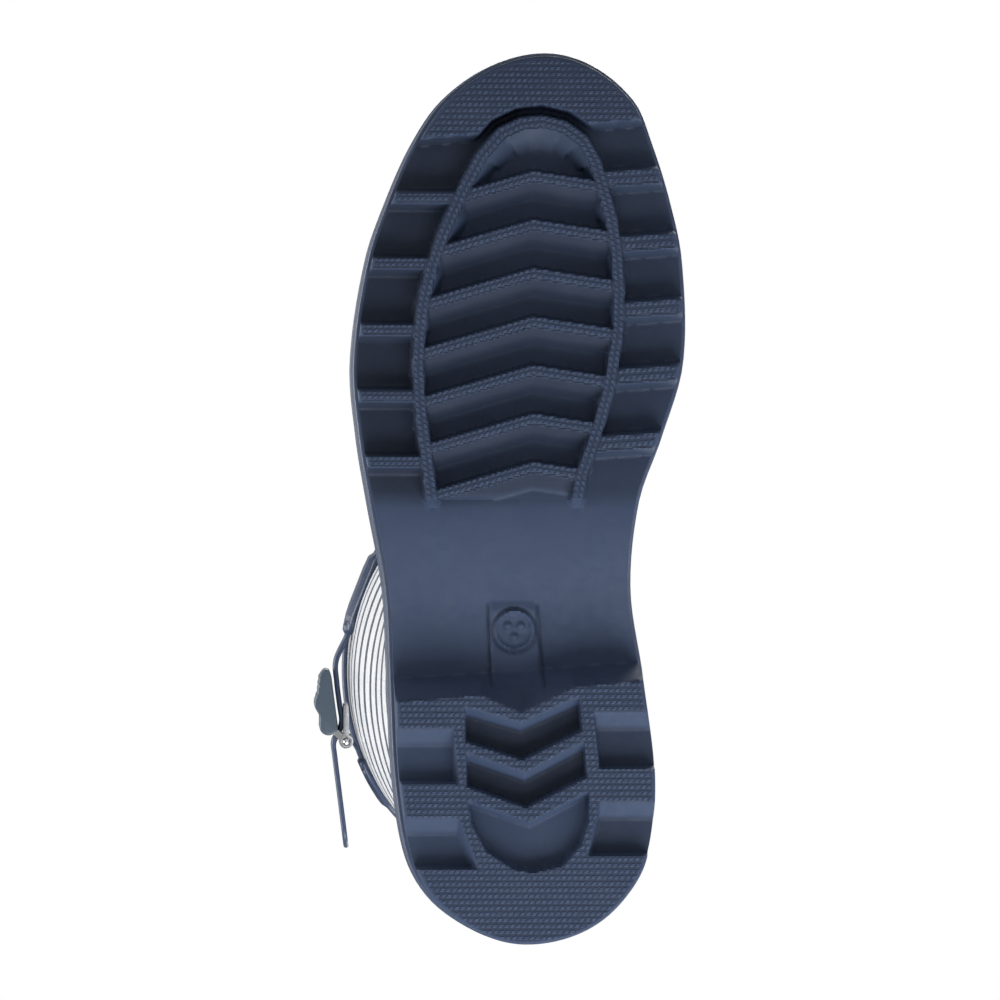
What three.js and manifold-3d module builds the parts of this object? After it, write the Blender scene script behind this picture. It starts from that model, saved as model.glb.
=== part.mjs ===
// A right-foot deck boot: lugged rubber sole, striped rubber shaft and a side strap with a cam-lever buckle.
// Millimetres, +Z up, toe towards -Y, inner (medial) side towards +X.
// The origin is on the ground at the middle of the rear heel pad.
import * as THREE from "three";
import { mergeVertices } from "three/addons/utils/BufferGeometryUtils.js";
import Module from "manifold-3d";

const wasm = await Module();
wasm.setup();

// Driving dimensions
const soleLength = 288;
const soleWidth = 105; // across the ball
const heelPadInset = 13; // heel back edge to the origin
const foreHeight = 14; // ground to the top of the outsole, forefoot
const heelHeight = 30; // the same at the heel
const treadDepth = 6.5;
const waistLift = 16; // ground to the waist surface at the heel breast
const breastLine = -68; // y of the heel's front edge on the ground
const breastSlope = 5; // how far the breast leans forward
const bootHeight = 300;
const rimLength = 136;
const rimWidth = 104;
const shellThickness = 2.2;
const stiffenerThickness = 1;
const liningThickness = 0.8;
const foxingThickness = 1.1;
const foxingBelow = 7; // below and above the top of the outsole
const foxingAbove = 13;
const bindingHeight = 9;
const bindingThickness = 1.6;
const insoleThickness = 2;
const footbedThickness = 4.5;
const strapWidth = 20;
const strapThickness = 1.8;
const strapBelowRim = 38;
const tailLength = 39; // free strap behind the buckle
const patchHeight = 30;
const patchThickness = 1.9; // rubber over the strap end
const barRadius = 1.2;
const cheekThickness = 1.6;
const leverLength = 24;
const leverWidth = 29;
const camRadius = 3.4;
const gap = 0.3; // between pieces that touch
const facetGap = 0.8; // between curved walls whose facets don't line up
const loopSteps = 56; // steps round the boot

const lerp = THREE.MathUtils.lerp;
const heelBack = heelPadInset;
const toeTip = heelBack - soleLength;
const strapZ = bootHeight - strapBelowRim;
const navy = { color: 0x2b3850, roughness: 0.55, metalness: 0 };
const white = { color: 0xf2f4f6, roughness: 0.35, metalness: 0 };
const grey = { color: 0x8c9197, roughness: 0.9, metalness: 0 };
const steel = { color: 0xa9adb2, roughness: 0.25, metalness: 1 };
const slate = { color: 0x4d5a68, roughness: 0.4, metalness: 0 };

// Sole outline stations: share of the length from the toe,
// then the lateral and medial edge as shares of the width.
const outline = [
  [0, 0.082, 0.082],
  [0.05, -0.219, 0.342],
  [0.1, -0.315, 0.402],
  [0.165, -0.395, 0.457],
  [0.23, -0.456, 0.493],
  [0.345, -0.502, 0.497],
  [0.43, -0.484, 0.429],
  [0.5, -0.452, 0.362],
  [0.6, -0.402, 0.338],
  [0.7, -0.387, 0.38],
  [0.815, -0.371, 0.418],
  [0.905, -0.33, 0.391],
  [0.95, -0.262, 0.321],
  [0.983, -0.145, 0.212],
  [1, 0.022, 0.022],
];

// Cubic through (at, value) pairs, with slopes from the neighbours.
function smooth(at, values, t) {
  const last = at.length - 1;
  let i = 0;
  while (i < last - 1 && t > at[i + 1]) i += 1;
  const slope = (k) => {
    const a = Math.max(k - 1, 0);
    const b = Math.min(k + 1, last);
    return (values[b] - values[a]) / (at[b] - at[a]);
  };
  const span = at[i + 1] - at[i];
  const u = (t - at[i]) / span;
  const u2 = u * u;
  const u3 = u2 * u;
  return (2 * u3 - 3 * u2 + 1) * values[i] + (u3 - 2 * u2 + u) * span * slope(i)
    + (3 * u2 - 2 * u3) * values[i + 1] + (u3 - u2) * span * slope(i + 1);
}

const outlineAngles = outline.map(([f]) => Math.acos(1 - 2 * f));
const lateralEdge = outline.map(([, lateral]) => lateral * soleWidth);
const medialEdge = outline.map(([, , medial]) => medial * soleWidth);

// Angle round the boot: 0 at the toe, a quarter turn on the medial side, half a turn at the heel.
function fold(angle) {
  const turn = THREE.MathUtils.euclideanModulo(angle, 2 * Math.PI);
  const medial = turn <= Math.PI;
  return { theta: medial ? turn : 2 * Math.PI - turn, side: medial ? 1 : -1 };
}

function outlineX(theta, side) {
  return smooth(outlineAngles, side > 0 ? medialEdge : lateralEdge, theta);
}

// Height of the outsole's top, by share of the length from the toe.
function soleTop(f) {
  return lerp(foreHeight, heelHeight, THREE.MathUtils.smoothstep(f, 0.42, 0.78));
}

function soleTopAt(y) {
  return soleTop((y - toeTip) / soleLength);
}

// Rings of the boot's outer surface, sole to rim.
// The first three follow the sole's edge at a lift above its top. The others are ovals:
// front and back points as [y, z], half width, x of the middle, share of the sole's outline.
const rimBack = 0;
const rimFront = rimBack - rimLength;
const shaftBase = 155;
const shaftZ = (share) => lerp(shaftBase, bootHeight, share);
const rings = [
  { lift: -8, grow: 0 },
  { lift: 0, grow: 0 },
  { lift: 13, grow: 0.4 },
  { front: [toeTip + 4, foreHeight + 30], back: [heelBack + 1, heelHeight + 28], half: 46, mid: 2, sole: 0.9 },
  { front: [toeTip + 19, foreHeight + 47], back: [heelBack, heelHeight + 44], half: 42, mid: 2, sole: 0.62 },
  { front: [toeTip + 58, foreHeight + 64], back: [heelBack - 4, heelHeight + 65], half: 38, mid: 1, sole: 0.25 },
  { front: [toeTip + 108, foreHeight + 92], back: [heelBack - 8, heelHeight + 92], half: 37, mid: 1, sole: 0 },
  { front: [toeTip + 140, shaftBase - 16], back: [heelBack - 11, shaftBase - 6], half: 40, mid: 0, sole: 0 },
  { front: [rimFront + 8, shaftZ(0.2)], back: [rimBack + 1, shaftZ(0.2)], half: rimWidth / 2 - 7, mid: 0, sole: 0 },
  { front: [rimFront + 2, shaftZ(0.48)], back: [rimBack, shaftZ(0.48)], half: rimWidth / 2, mid: 0, sole: 0 },
  { front: [rimFront, shaftZ(0.75)], back: [rimBack, shaftZ(0.75)], half: rimWidth / 2, mid: 0, sole: 0 },
  { front: [rimFront, bootHeight], back: [rimBack, bootHeight], half: rimWidth / 2, mid: 0, sole: 0 },
];
const rimLevel = rings.length - 1;

function ringPoint(ring, angle) {
  const { theta, side } = fold(angle);
  const f = (1 - Math.cos(theta)) / 2;
  const edge = outlineX(theta, side);
  if (ring.lift !== undefined) {
    const x = edge + side * ring.grow * Math.sin(theta);
    const y = lerp(toeTip - ring.grow, heelBack + ring.grow, f);
    return new THREE.Vector3(x, y, soleTop(f) + ring.lift);
  }
  const oval = ring.mid + side * ring.half * Math.sin(theta);
  const x = lerp(oval, edge, ring.sole);
  return new THREE.Vector3(x, lerp(ring.front[0], ring.back[0], f), lerp(ring.front[1], ring.back[1], f));
}

// A point of the outer surface: level counts the rings from the sole up.
function surface(angle, level) {
  const i = Math.min(Math.max(Math.floor(level), 0), rimLevel - 1);
  const u = level - i;
  const p = [i - 1, i, i + 1, i + 2].map((k) => ringPoint(rings[Math.min(Math.max(k, 0), rimLevel)], angle));
  const weights = [
    (-u + 2 * u * u - u ** 3) / 2,
    (2 - 5 * u * u + 3 * u ** 3) / 2,
    (u + 4 * u * u - 3 * u ** 3) / 2,
    (-u * u + u ** 3) / 2,
  ];
  return p.reduce((sum, point, k) => sum.addScaledVector(point, weights[k]), new THREE.Vector3());
}

// The surface moved out along its normal.
function offsetSurface(angle, level, out) {
  const step = 0.01;
  const across = surface(angle + step, level).sub(surface(angle - step, level));
  const up = surface(angle, Math.min(level + step, rimLevel)).sub(surface(angle, level - step));
  return surface(angle, level).addScaledVector(across.cross(up).normalize(), out);
}

// The level at which the surface reaches a height at this angle.
function levelAt(angle, z) {
  let low = 0;
  let high = rimLevel;
  for (let i = 0; i < 30; i += 1) {
    const middle = (low + high) / 2;
    if (surface(angle, middle).z < z) low = middle;
    else high = middle;
  }
  return (low + high) / 2;
}

function levelAboveSole(angle, lift) {
  return levelAt(angle, soleTop((1 - Math.cos(fold(angle).theta)) / 2) + lift);
}

// Solids
function toGeometry(vertices, triangles) {
  const geometry = new THREE.BufferGeometry();
  geometry.setAttribute("position", new THREE.Float32BufferAttribute(vertices, 3));
  geometry.setIndex(Array.from(triangles));
  return geometry;
}

function solid(geometry) {
  const bare = geometry.clone();
  bare.deleteAttribute("normal");
  bare.deleteAttribute("uv");
  const merged = mergeVertices(bare, 1e-4);
  const vertProperties = merged.attributes.position.array;
  const triVerts = new Uint32Array(merged.index.array);
  return new wasm.Manifold(new wasm.Mesh({ numProp: 3, vertProperties, triVerts }));
}

function outwardSolid(vertices, triangles) {
  const made = solid(toGeometry(vertices, triangles));
  if (made.volume() > 0) return made;
  for (let i = 0; i < triangles.length; i += 3) {
    [triangles[i + 1], triangles[i + 2]] = [triangles[i + 2], triangles[i + 1]];
  }
  return solid(toGeometry(vertices, triangles));
}

// A wall between an outer and an inner line of points, carried through stations; closed goes all the way round.
function wall(stations, closed) {
  const sections = stations.map(({ outer, inner }) => [...outer, ...inner.slice().reverse()]);
  const size = sections[0].length;
  const vertices = sections.flat().flatMap((p) => [p.x, p.y, p.z]);
  const triangles = [];
  const quad = (a, b, c, d) => triangles.push(a, b, c, a, c, d);
  const spans = closed ? sections.length : sections.length - 1;
  for (let i = 0; i < spans; i += 1) {
    const next = (i + 1) % sections.length;
    for (let j = 0; j < size; j += 1) {
      const k = (j + 1) % size;
      quad(i * size + j, next * size + j, next * size + k, i * size + k);
    }
  }
  if (!closed) {
    const last = (sections.length - 1) * size;
    for (let j = 0; j < size / 2 - 1; j += 1) {
      const across = size - 1 - j;
      quad(j, j + 1, across - 1, across);
      quad(last + across, last + across - 1, last + j + 1, last + j);
    }
  }
  return outwardSolid(vertices, triangles);
}

// A prism from z0 to z1 whose section changes from one polygon to another with the same number of corners.
function taperedPrism(lower, upper, z0, z1) {
  const clockwise = THREE.ShapeUtils.isClockWise(lower.map(([x, y]) => new THREE.Vector2(x, y)));
  const [bottom, top] = [lower, upper].map((polygon) => (clockwise ? polygon.slice().reverse() : polygon));
  const n = bottom.length;
  const vertices = [...bottom.flatMap(([x, y]) => [x, y, z0]), ...top.flatMap(([x, y]) => [x, y, z1])];
  const corners = bottom.map(([x, y]) => new THREE.Vector2(x, y));
  const triangles = THREE.ShapeUtils.triangulateShape(corners, [])
    .flatMap(([a, b, c]) => [c, b, a, n + a, n + b, n + c]);
  for (let i = 0; i < n; i += 1) {
    const k = (i + 1) % n;
    triangles.push(i, k, n + k, i, n + k, n + i);
  }
  return outwardSolid(vertices, triangles);
}

function prism(polygon, z0, z1) {
  const shape = new THREE.Shape(polygon.map(([x, y]) => new THREE.Vector2(x, y)));
  const made = new THREE.ExtrudeGeometry(shape, { depth: z1 - z0, bevelEnabled: false });
  return solid(made.translate(0, 0, z0));
}

// A side profile in [y, z] carried across the boot between two x values.
function crossPrism(profile, x0, x1) {
  const shape = new THREE.Shape(profile.map(([y, z]) => new THREE.Vector2(y, z)));
  const made = new THREE.ExtrudeGeometry(shape, { depth: x1 - x0, bevelEnabled: false });
  made.applyMatrix4(new THREE.Matrix4().makeBasis(
    new THREE.Vector3(0, 1, 0),
    new THREE.Vector3(0, 0, 1),
    new THREE.Vector3(1, 0, 0),
  ));
  return solid(made.translate(x0, 0, 0));
}

// The two sides of a line of [x, y] points, half a width away.
function ribbon(line, width) {
  const sides = [-width / 2, width / 2].map((out) => line.map((point, i) => {
    const before = line[Math.max(i - 1, 0)];
    const after = line[Math.min(i + 1, line.length - 1)];
    const length = Math.hypot(after[0] - before[0], after[1] - before[1]);
    const across = [(after[1] - before[1]) / length, (before[0] - after[0]) / length];
    return [point[0] + across[0] * out, point[1] + across[1] * out];
  }));
  return [...sides[0], ...sides[1].reverse()];
}

function curveThrough(points, steps) {
  const through = points.map(([x, y]) => new THREE.Vector3(x, y, 0));
  const curve = new THREE.CatmullRomCurve3(through, false, "centripetal");
  return curve.getPoints(steps).map((p) => [p.x, p.y]);
}

function disc(x, y, radius, steps = 20) {
  return Array.from({ length: steps }, (_, i) => {
    const angle = (2 * Math.PI * i) / steps;
    return [x + radius * Math.cos(angle), y + radius * Math.sin(angle)];
  });
}

const angles = Array.from({ length: loopSteps }, (_, i) => (2 * Math.PI * i) / loopSteps);

// The sole's outline as a polygon, moved in by inset.
function soleOutline(inset) {
  const points = angles.map((angle) => ringPoint(rings[1], angle));
  return points.map((point, i) => {
    const before = points[(i + loopSteps - 1) % loopSteps];
    const after = points[(i + 1) % loopSteps];
    const length = Math.hypot(after.x - before.x, after.y - before.y);
    return [
      point.x - ((after.y - before.y) / length) * inset,
      point.y + ((after.x - before.x) / length) * inset,
    ];
  });
}

// A band that follows the sole's top between two heights above it.
function soleBand(low, high, front, back, steps) {
  const ys = Array.from({ length: steps + 1 }, (_, i) => lerp(front, back, i / steps));
  return [
    ...ys.map((y) => [y, soleTopAt(y) + low]),
    ...ys.reverse().map((y) => [y, soleTopAt(y) + high]),
  ];
}
const bandSteps = 24;
const past = 5; // how far a cutting shape runs past what it cuts
const wide = 80; // beyond either side of the sole

const group = new THREE.Group();
function add(name, made, finish) {
  const { vertProperties, triVerts } = made.getMesh();
  const mesh = new THREE.Mesh(toGeometry(vertProperties, triVerts), new THREE.MeshStandardMaterial(finish));
  mesh.name = name;
  group.add(mesh);
}

// Tread
const railWidth = 3.6;
const railClearance = 3; // channel between the rail and the toe pad
const ribWidth = 3.3;
const ribSlope = 1.8; // the rib's heel side leans by this much over its depth
const barWidth = 3.6;
const barSlope = 4;
const barCount = 7;
const barPitch = 15.7;
const ribPitch = 21.4;
const ribCount = 5;
const toePadEdge = 24.5; // toe tip to the toe pad's rear edge
const railPath = [
  [-28.5, 143], [-32.4, 113], [-32.5, 88], [-28.5, 68], [-18.8, 44], [-8, 26.5],
  [5, 21.2], [18, 25.5], [26.5, 41], [32, 75], [30.4, 98], [23, 127], [18.8, 144],
];

function rail() {
  return curveThrough(railPath.map(([x, fromToe]) => [x, toeTip + fromToe]), 60);
}

function railOutside(out) {
  const sides = ribbon(rail(), 2 * out);
  return sides.slice(0, sides.length / 2);
}

function chevronBars() {
  const apexX = 4.2;
  const reach = 45;
  let bars = null;
  for (let i = 0; i < barCount; i += 1) {
    const y = toeTip + 38.8 + i * barPitch;
    const line = [[-reach, y + reach * 0.29], [apexX, y], [reach, y + reach * 0.15]];
    const lower = ribbon(line, barWidth);
    const upper = lower.map(([x, v], k) => [x, k < line.length ? v + barSlope : v]);
    const bar = taperedPrism(lower, upper, 0, treadDepth + gap);
    bars = bars ? bars.add(bar) : bar;
  }
  return bars;
}

function sideRibs() {
  const reach = 70;
  let ribs = null;
  for (const [side, start, tilt] of [[-1, 45.6, 0.02], [1, 37.8, -0.07]]) {
    for (let i = 0; i < ribCount; i += 1) {
      const y = toeTip + start + i * ribPitch;
      const line = side < 0 ? [[-reach, y - reach * tilt], [0, y]] : [[0, y], [reach, y + reach * tilt]];
      const lower = ribbon(line, ribWidth);
      const upper = lower.map(([x, v], k) => [x, k < line.length ? v + ribSlope : v]);
      const rib = taperedPrism(lower, upper, 0, treadDepth + gap);
      ribs = ribs ? ribs.add(rib) : rib;
    }
  }
  return ribs;
}

function foreTread() {
  const top = treadDepth + gap;
  const inside = prism(rail(), -past, top + past);
  const body = prism(soleOutline(0), 0, top);
  const edge = toeTip + toePadEdge;
  const padCorners = [[-wide, toeTip - past], [wide, toeTip - past], [wide, edge - 5], [-wide, edge + 5]];
  const pad = prism(padCorners, 0, top);
  const channel = prism(railOutside(railWidth / 2 + railClearance), -past, top + past);
  const lugs = prism(ribbon(rail(), railWidth), 0, top)
    .add(chevronBars().intersect(inside))
    .add(sideRibs().subtract(inside))
    .add(pad.subtract(channel));
  return lugs.intersect(body);
}

// Heel cuts: open notches in both sides, two V channels and a half oval.
function heelCuts() {
  const depth = 5.5;
  const notch = (x, front, back) => taperedPrism(
    [[x, front], [x + Math.sign(x) * wide, front], [x + Math.sign(x) * wide, back], [x, back]],
    [
      [x + Math.sign(x) * 2, front + 2],
      [x + Math.sign(x) * wide, front + 2],
      [x + Math.sign(x) * wide, back - 2],
      [x + Math.sign(x) * 2, back - 2],
    ],
    -past,
    depth,
  );
  const channel = (front, drop, height, half) => prism([
    [1 - half, front + 1], [1, front + drop], [1 + half, front - 2],
    [1 + half, front + height - 2], [1, front + drop + height], [1 - half, front + height + 1],
  ], -past, depth);
  const oval = new THREE.EllipseCurve(3, -30, 19.5, 19, 0, Math.PI).getPoints(16).map((p) => [p.x, p.y]);
  return notch(-20.5, -56.9, -39.8)
    .add(notch(-17, -28.1, -11.9))
    .add(notch(25, -62.1, -44.3))
    .add(notch(24.5, -33, -16.1))
    .add(channel(-65.5, 6.5, 10.5, 18.5))
    .add(channel(-51, 8, 10.5, 19.5))
    .add(prism(oval.concat([[2.5, -25.5]]), -past, depth));
}

const fillerInset = 13;
const heelFillerFront = -56;
const heelFillerBack = -6;
const heelFillerFloor = 13;
const foreFillerFront = -250;
const foreFillerBack = -158;
const foreFillerDepth = 3;
const shankFront = -152;
const shankBack = -62;
const shankWidth = 18;
const shankThickness = 1.6;

function fillerBlock(inset, front, back, floor) {
  const area = prism([[-wide, front], [wide, front], [wide, back], [-wide, back]], floor, heelHeight + past);
  return prism(soleOutline(inset), 0, heelHeight + past).intersect(area);
}

function outsole() {
  const waistStart = toeTip + 145;
  const profile = [
    [toeTip - past, treadDepth], [waistStart, treadDepth], [waistStart + 28, lerp(treadDepth, waistLift, 0.36)],
    [breastLine - breastSlope, waistLift], [breastLine, 0], [heelBack + past, 0],
  ];
  const top = soleBand(0, 0, toeTip - past, heelBack + past, bandSteps).slice(bandSteps + 1);
  const body = crossPrism([...profile, ...top], -wide, wide)
    .intersect(prism(soleOutline(0), 0, heelHeight + past));
  const groove = soleBand(-shankThickness - 2 * gap, past, shankFront - gap, shankBack + gap, bandSteps);
  return body
    .add(foreTread())
    .subtract(heelCuts())
    .subtract(fillerBlock(fillerInset, heelFillerFront, heelFillerBack, heelFillerFloor))
    .subtract(fillerBlock(fillerInset, foreFillerFront, foreFillerBack, foreHeight - foreFillerDepth))
    .subtract(crossPrism(groove, -shankWidth / 2 - gap, shankWidth / 2 + gap));
}

function belowSoleTop(made, low, high) {
  const band = soleBand(low, high, toeTip, heelBack, bandSteps);
  return made.intersect(crossPrism(band, -wide, wide));
}

function heelFiller() {
  const front = heelFillerFront + gap;
  const block = fillerBlock(fillerInset + gap, front, heelFillerBack - gap, heelFillerFloor + gap);
  return belowSoleTop(block, -heelHeight, 0);
}

function foreFiller() {
  const floor = foreHeight - foreFillerDepth + gap;
  const block = fillerBlock(fillerInset + gap, foreFillerFront + gap, foreFillerBack - gap, floor);
  return belowSoleTop(block, -foreFillerDepth, 0);
}

function shank() {
  const band = soleBand(-shankThickness - gap, -gap, shankFront, shankBack, bandSteps);
  return crossPrism(band, -shankWidth / 2, shankWidth / 2);
}

const liningOuter = shellThickness + facetGap + stiffenerThickness + facetGap;
const liningInner = liningOuter + liningThickness;

function insolePlate(inset, low, high) {
  return belowSoleTop(prism(soleOutline(inset), 0, bootHeight), low, high);
}

// Upper
const shellRows = 13;
const startLift = 0.6; // the shell's lower edge above the outsole

// A shell all the way round between two depths below the outer surface,
// from a lift above the sole to near the rim.
function bootShell(outerDepth, innerDepth, lift, belowRim) {
  return wall(angles.map((angle) => {
    const low = levelAboveSole(angle, lift);
    const high = levelAt(angle, bootHeight - belowRim);
    const levels = Array.from({ length: shellRows + 1 }, (_, i) => lerp(low, high, i / shellRows));
    return {
      outer: levels.map((level) => offsetSurface(angle, level, -outerDepth)),
      inner: levels.map((level) => offsetSurface(angle, level, -innerDepth)),
    };
  }), true);
}

// A patch of shell between two angles; low and high give its levels at each angle.
function patch(fromAngle, toAngle, steps, low, high, rows, outerOut, innerOut) {
  return wall(Array.from({ length: steps + 1 }, (_, i) => {
    const angle = lerp(fromAngle, toAngle, i / steps);
    const levels = Array.from({ length: rows + 1 }, (__, k) => lerp(low(angle), high(angle), k / rows));
    return {
      outer: levels.map((level) => offsetSurface(angle, level, outerOut)),
      inner: levels.map((level) => offsetSurface(angle, level, innerOut)),
    };
  }), false);
}

// A thin stiffener inside the shell, over a number of the shell's own angle steps each side of its middle.
function stiffener(middleAngle, stepsEachSide, height) {
  const outer = -shellThickness - facetGap;
  const halfAngle = (2 * Math.PI * stepsEachSide) / loopSteps;
  const low = (angle) => levelAboveSole(angle, startLift + 1);
  const high = (angle) => {
    const fade = Math.max(Math.cos(((angle - middleAngle) / halfAngle) * (Math.PI / 2)), 0.01) ** 0.5;
    return levelAboveSole(angle, 8 + height * fade);
  };
  const steps = 2 * stepsEachSide;
  const inner = outer - stiffenerThickness;
  return patch(middleAngle - halfAngle, middleAngle + halfAngle, steps, low, high, 5, outer, inner);
}

function foxing() {
  return wall(angles.map((angle) => {
    const low = levelAboveSole(angle, -foxingBelow);
    const high = levelAboveSole(angle, foxingAbove);
    const levels = [0, 0.35, 0.7, 1].map((share) => lerp(low, high, share));
    return {
      outer: levels.map((level, i) => offsetSurface(angle, level, gap + (i === 3 ? 0.6 : 1) * foxingThickness)),
      inner: levels.map((level) => offsetSurface(angle, level, gap)),
    };
  }), true);
}

function topBinding() {
  const inside = -liningInner - gap;
  const outside = gap + bindingThickness;
  return wall(angles.map((angle) => {
    const foot = levelAt(angle, bootHeight - bindingHeight);
    const at = (level, out, z) => offsetSurface(angle, level, out).setZ(z);
    const low = bootHeight - bindingHeight;
    const roof = bootHeight - bindingThickness;
    const corner = bindingThickness / 2;
    return {
      outer: [
        at(foot, outside, low), at(rimLevel, outside, bootHeight - corner), at(rimLevel, outside - corner, bootHeight),
        at(rimLevel, inside - bindingThickness + corner, bootHeight),
        at(rimLevel, inside - bindingThickness, bootHeight - corner), at(foot, inside - bindingThickness, low),
      ],
      inner: [
        at(foot, gap, low), at(rimLevel, gap, roof), at(rimLevel, -shellThickness, roof),
        at(rimLevel, -liningOuter, roof), at(rimLevel, inside, roof), at(foot, inside, low),
      ],
    };
  }), true);
}

// Side strap. Its pieces stand off the lateral side of the shaft, where the wall is upright.
const strapFront = -112;
const frontPatchSpan = [-115, -82];
const buckleY = -56;
const rearPatchSpan = [-37, -13];

function lateralAngle(y) {
  return 2 * Math.PI - Math.acos(1 - (2 * (y - rimFront)) / rimLength);
}

function besideShaft(y, out) {
  const point = offsetSurface(lateralAngle(y), levelAt(lateralAngle(y), strapZ), out);
  return [point.x, point.y];
}

// The buckle's own frame: along the shaft's tangent towards the heel, and straight out from the shaft.
const buckleFoot = besideShaft(buckleY, 0);
const buckleOut = besideShaft(buckleY, 1).map((value, i) => value - buckleFoot[i]);
const buckleAlong = [-buckleOut[1], buckleOut[0]].map((value) => value * Math.sign(buckleOut[0]));
function atBuckle(along, out) {
  return [0, 1].map((i) => buckleFoot[i] + buckleAlong[i] * along + buckleOut[i] * out);
}

function extrudeUp(polygon, halfWidth) {
  return prism(polygon, strapZ - halfWidth, strapZ + halfWidth);
}

// Places in the buckle's frame. The strap runs over the guide bar, under the cam and over the tab's eye.
const eyeHole = barRadius + gap;
const tabThickness = 1.2;
const tabWidth = 17;
const pinX = 6;
const climb = 3.8; // along the boot, between the pin and the tab's eye, where the strap rises
const barX = pinX + climb + tabThickness + eyeHole;
const barOut = eyeHole + tabThickness + 0.7;
const guideRadius = 1;
const guideOut = guideRadius + 0.7; // above the shaft
const overGuide = guideOut + guideRadius + gap + strapThickness / 2;
const overEye = barOut + eyeHole + tabThickness + 3 * gap + strapThickness / 2;
const pinOut = overGuide + strapThickness / 2 + gap + camRadius + 0.5;
const cheekInside = strapWidth / 2 + 1.2;
const eyeRadius = eyeHole + 1.1;

function strapLine() {
  const restOut = 0.6 + strapThickness / 2;
  const patchYs = [0, 0.35, 0.7, 1].map((share) => lerp(strapFront, frontPatchSpan[1], share));
  return [
    ...patchYs.map((y) => besideShaft(y, restOut)),
    atBuckle(-17, lerp(restOut, overGuide, 0.6)),
    atBuckle(-9, overGuide - 0.1),
    atBuckle(0, overGuide),
    atBuckle(pinX - 0.5, overGuide + 0.05),
    atBuckle(lerp(pinX, barX, 0.45), lerp(overGuide, overEye, 0.4)),
    atBuckle(barX, overEye),
    atBuckle(barX + 5.5, overEye + 0.3),
    atBuckle(barX + tailLength, overEye + 0.7),
  ];
}

function strap() {
  return extrudeUp(ribbon(curveThrough(strapLine(), 48), strapThickness), strapWidth / 2);
}

// A rubber patch bonded over the end of a strap; the strap's channel is cut from its underside.
function anchorPatch(span, channelLine, channelThickness, channelWidth, thickness) {
  const half = patchHeight / 2;
  const from = lateralAngle(span[0]);
  const to = lateralAngle(span[1]);
  const low = (angle) => levelAt(angle, strapZ - half);
  const high = (angle) => levelAt(angle, strapZ + half);
  const body = patch(from, to, 10, low, high, 2, thickness, gap);
  const channel = extrudeUp(ribbon(channelLine, channelThickness), channelWidth / 2 + gap);
  return body.subtract(channel);
}

function surfaceLine(from, to, out, steps = 10) {
  return Array.from({ length: steps + 1 }, (_, i) => besideShaft(lerp(from, to, i / steps), out));
}

function frontAnchor() {
  const depth = 0.6 + strapThickness + gap;
  const line = surfaceLine(strapFront - gap, frontPatchSpan[1] + past, depth / 2 - 1);
  return anchorPatch(frontPatchSpan, line, depth + 2, strapWidth, depth + patchThickness);
}

const tabOut = 0.6 + tabThickness / 2;
const tabEnd = rearPatchSpan[1] - 3;

function rearAnchor() {
  const depth = 0.6 + tabThickness + gap;
  const line = surfaceLine(rearPatchSpan[0] - past, tabEnd + gap, depth / 2 - 1);
  return anchorPatch(rearPatchSpan, line, depth + 2, tabWidth, depth + patchThickness - 0.4);
}

// A tab that folds round the hinge bar; its tail runs under the rear anchor.
function buckleTab() {
  const eye = atBuckle(barX, barOut);
  const tail = [atBuckle(barX, 0.7 + tabThickness / 2), ...surfaceLine(rearPatchSpan[0] - 1, tabEnd, tabOut)];
  return extrudeUp(disc(...eye, eyeHole + tabThickness), tabWidth / 2)
    .add(extrudeUp(ribbon(tail, tabThickness), tabWidth / 2))
    .subtract(extrudeUp(disc(...eye, eyeHole), tabWidth));
}

function hingeBar() {
  return extrudeUp(disc(...atBuckle(barX, barOut), barRadius, 16), cheekInside + cheekThickness + 1);
}

// Two V-shaped cheeks joined by the guide bar that the strap runs over.
function linkFrame() {
  const eye = atBuckle(barX, barOut);
  const pin = atBuckle(pinX, pinOut);
  const guide = atBuckle(0, guideOut);
  const outside = cheekInside + cheekThickness;
  const plate = extrudeUp(disc(...eye, eyeRadius), outside)
    .add(extrudeUp(disc(...pin, eyeRadius), outside))
    .add(extrudeUp(ribbon([eye, pin], 2.4), outside))
    .add(extrudeUp(ribbon([eye, guide], 2), outside))
    .subtract(extrudeUp(disc(...eye, eyeHole, 16), outside + 1))
    .subtract(extrudeUp(disc(...pin, eyeHole, 16), outside + 1));
  const betweenCorners = [atBuckle(-9, -5), atBuckle(25, -5), atBuckle(25, 20), atBuckle(-9, 20)];
  const between = extrudeUp(betweenCorners, cheekInside);
  return plate.subtract(between).add(extrudeUp(disc(...guide, guideRadius, 16), outside));
}

function leverPin() {
  return extrudeUp(disc(...atBuckle(pinX, pinOut), barRadius, 16), leverWidth / 2 - 0.4);
}

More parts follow.
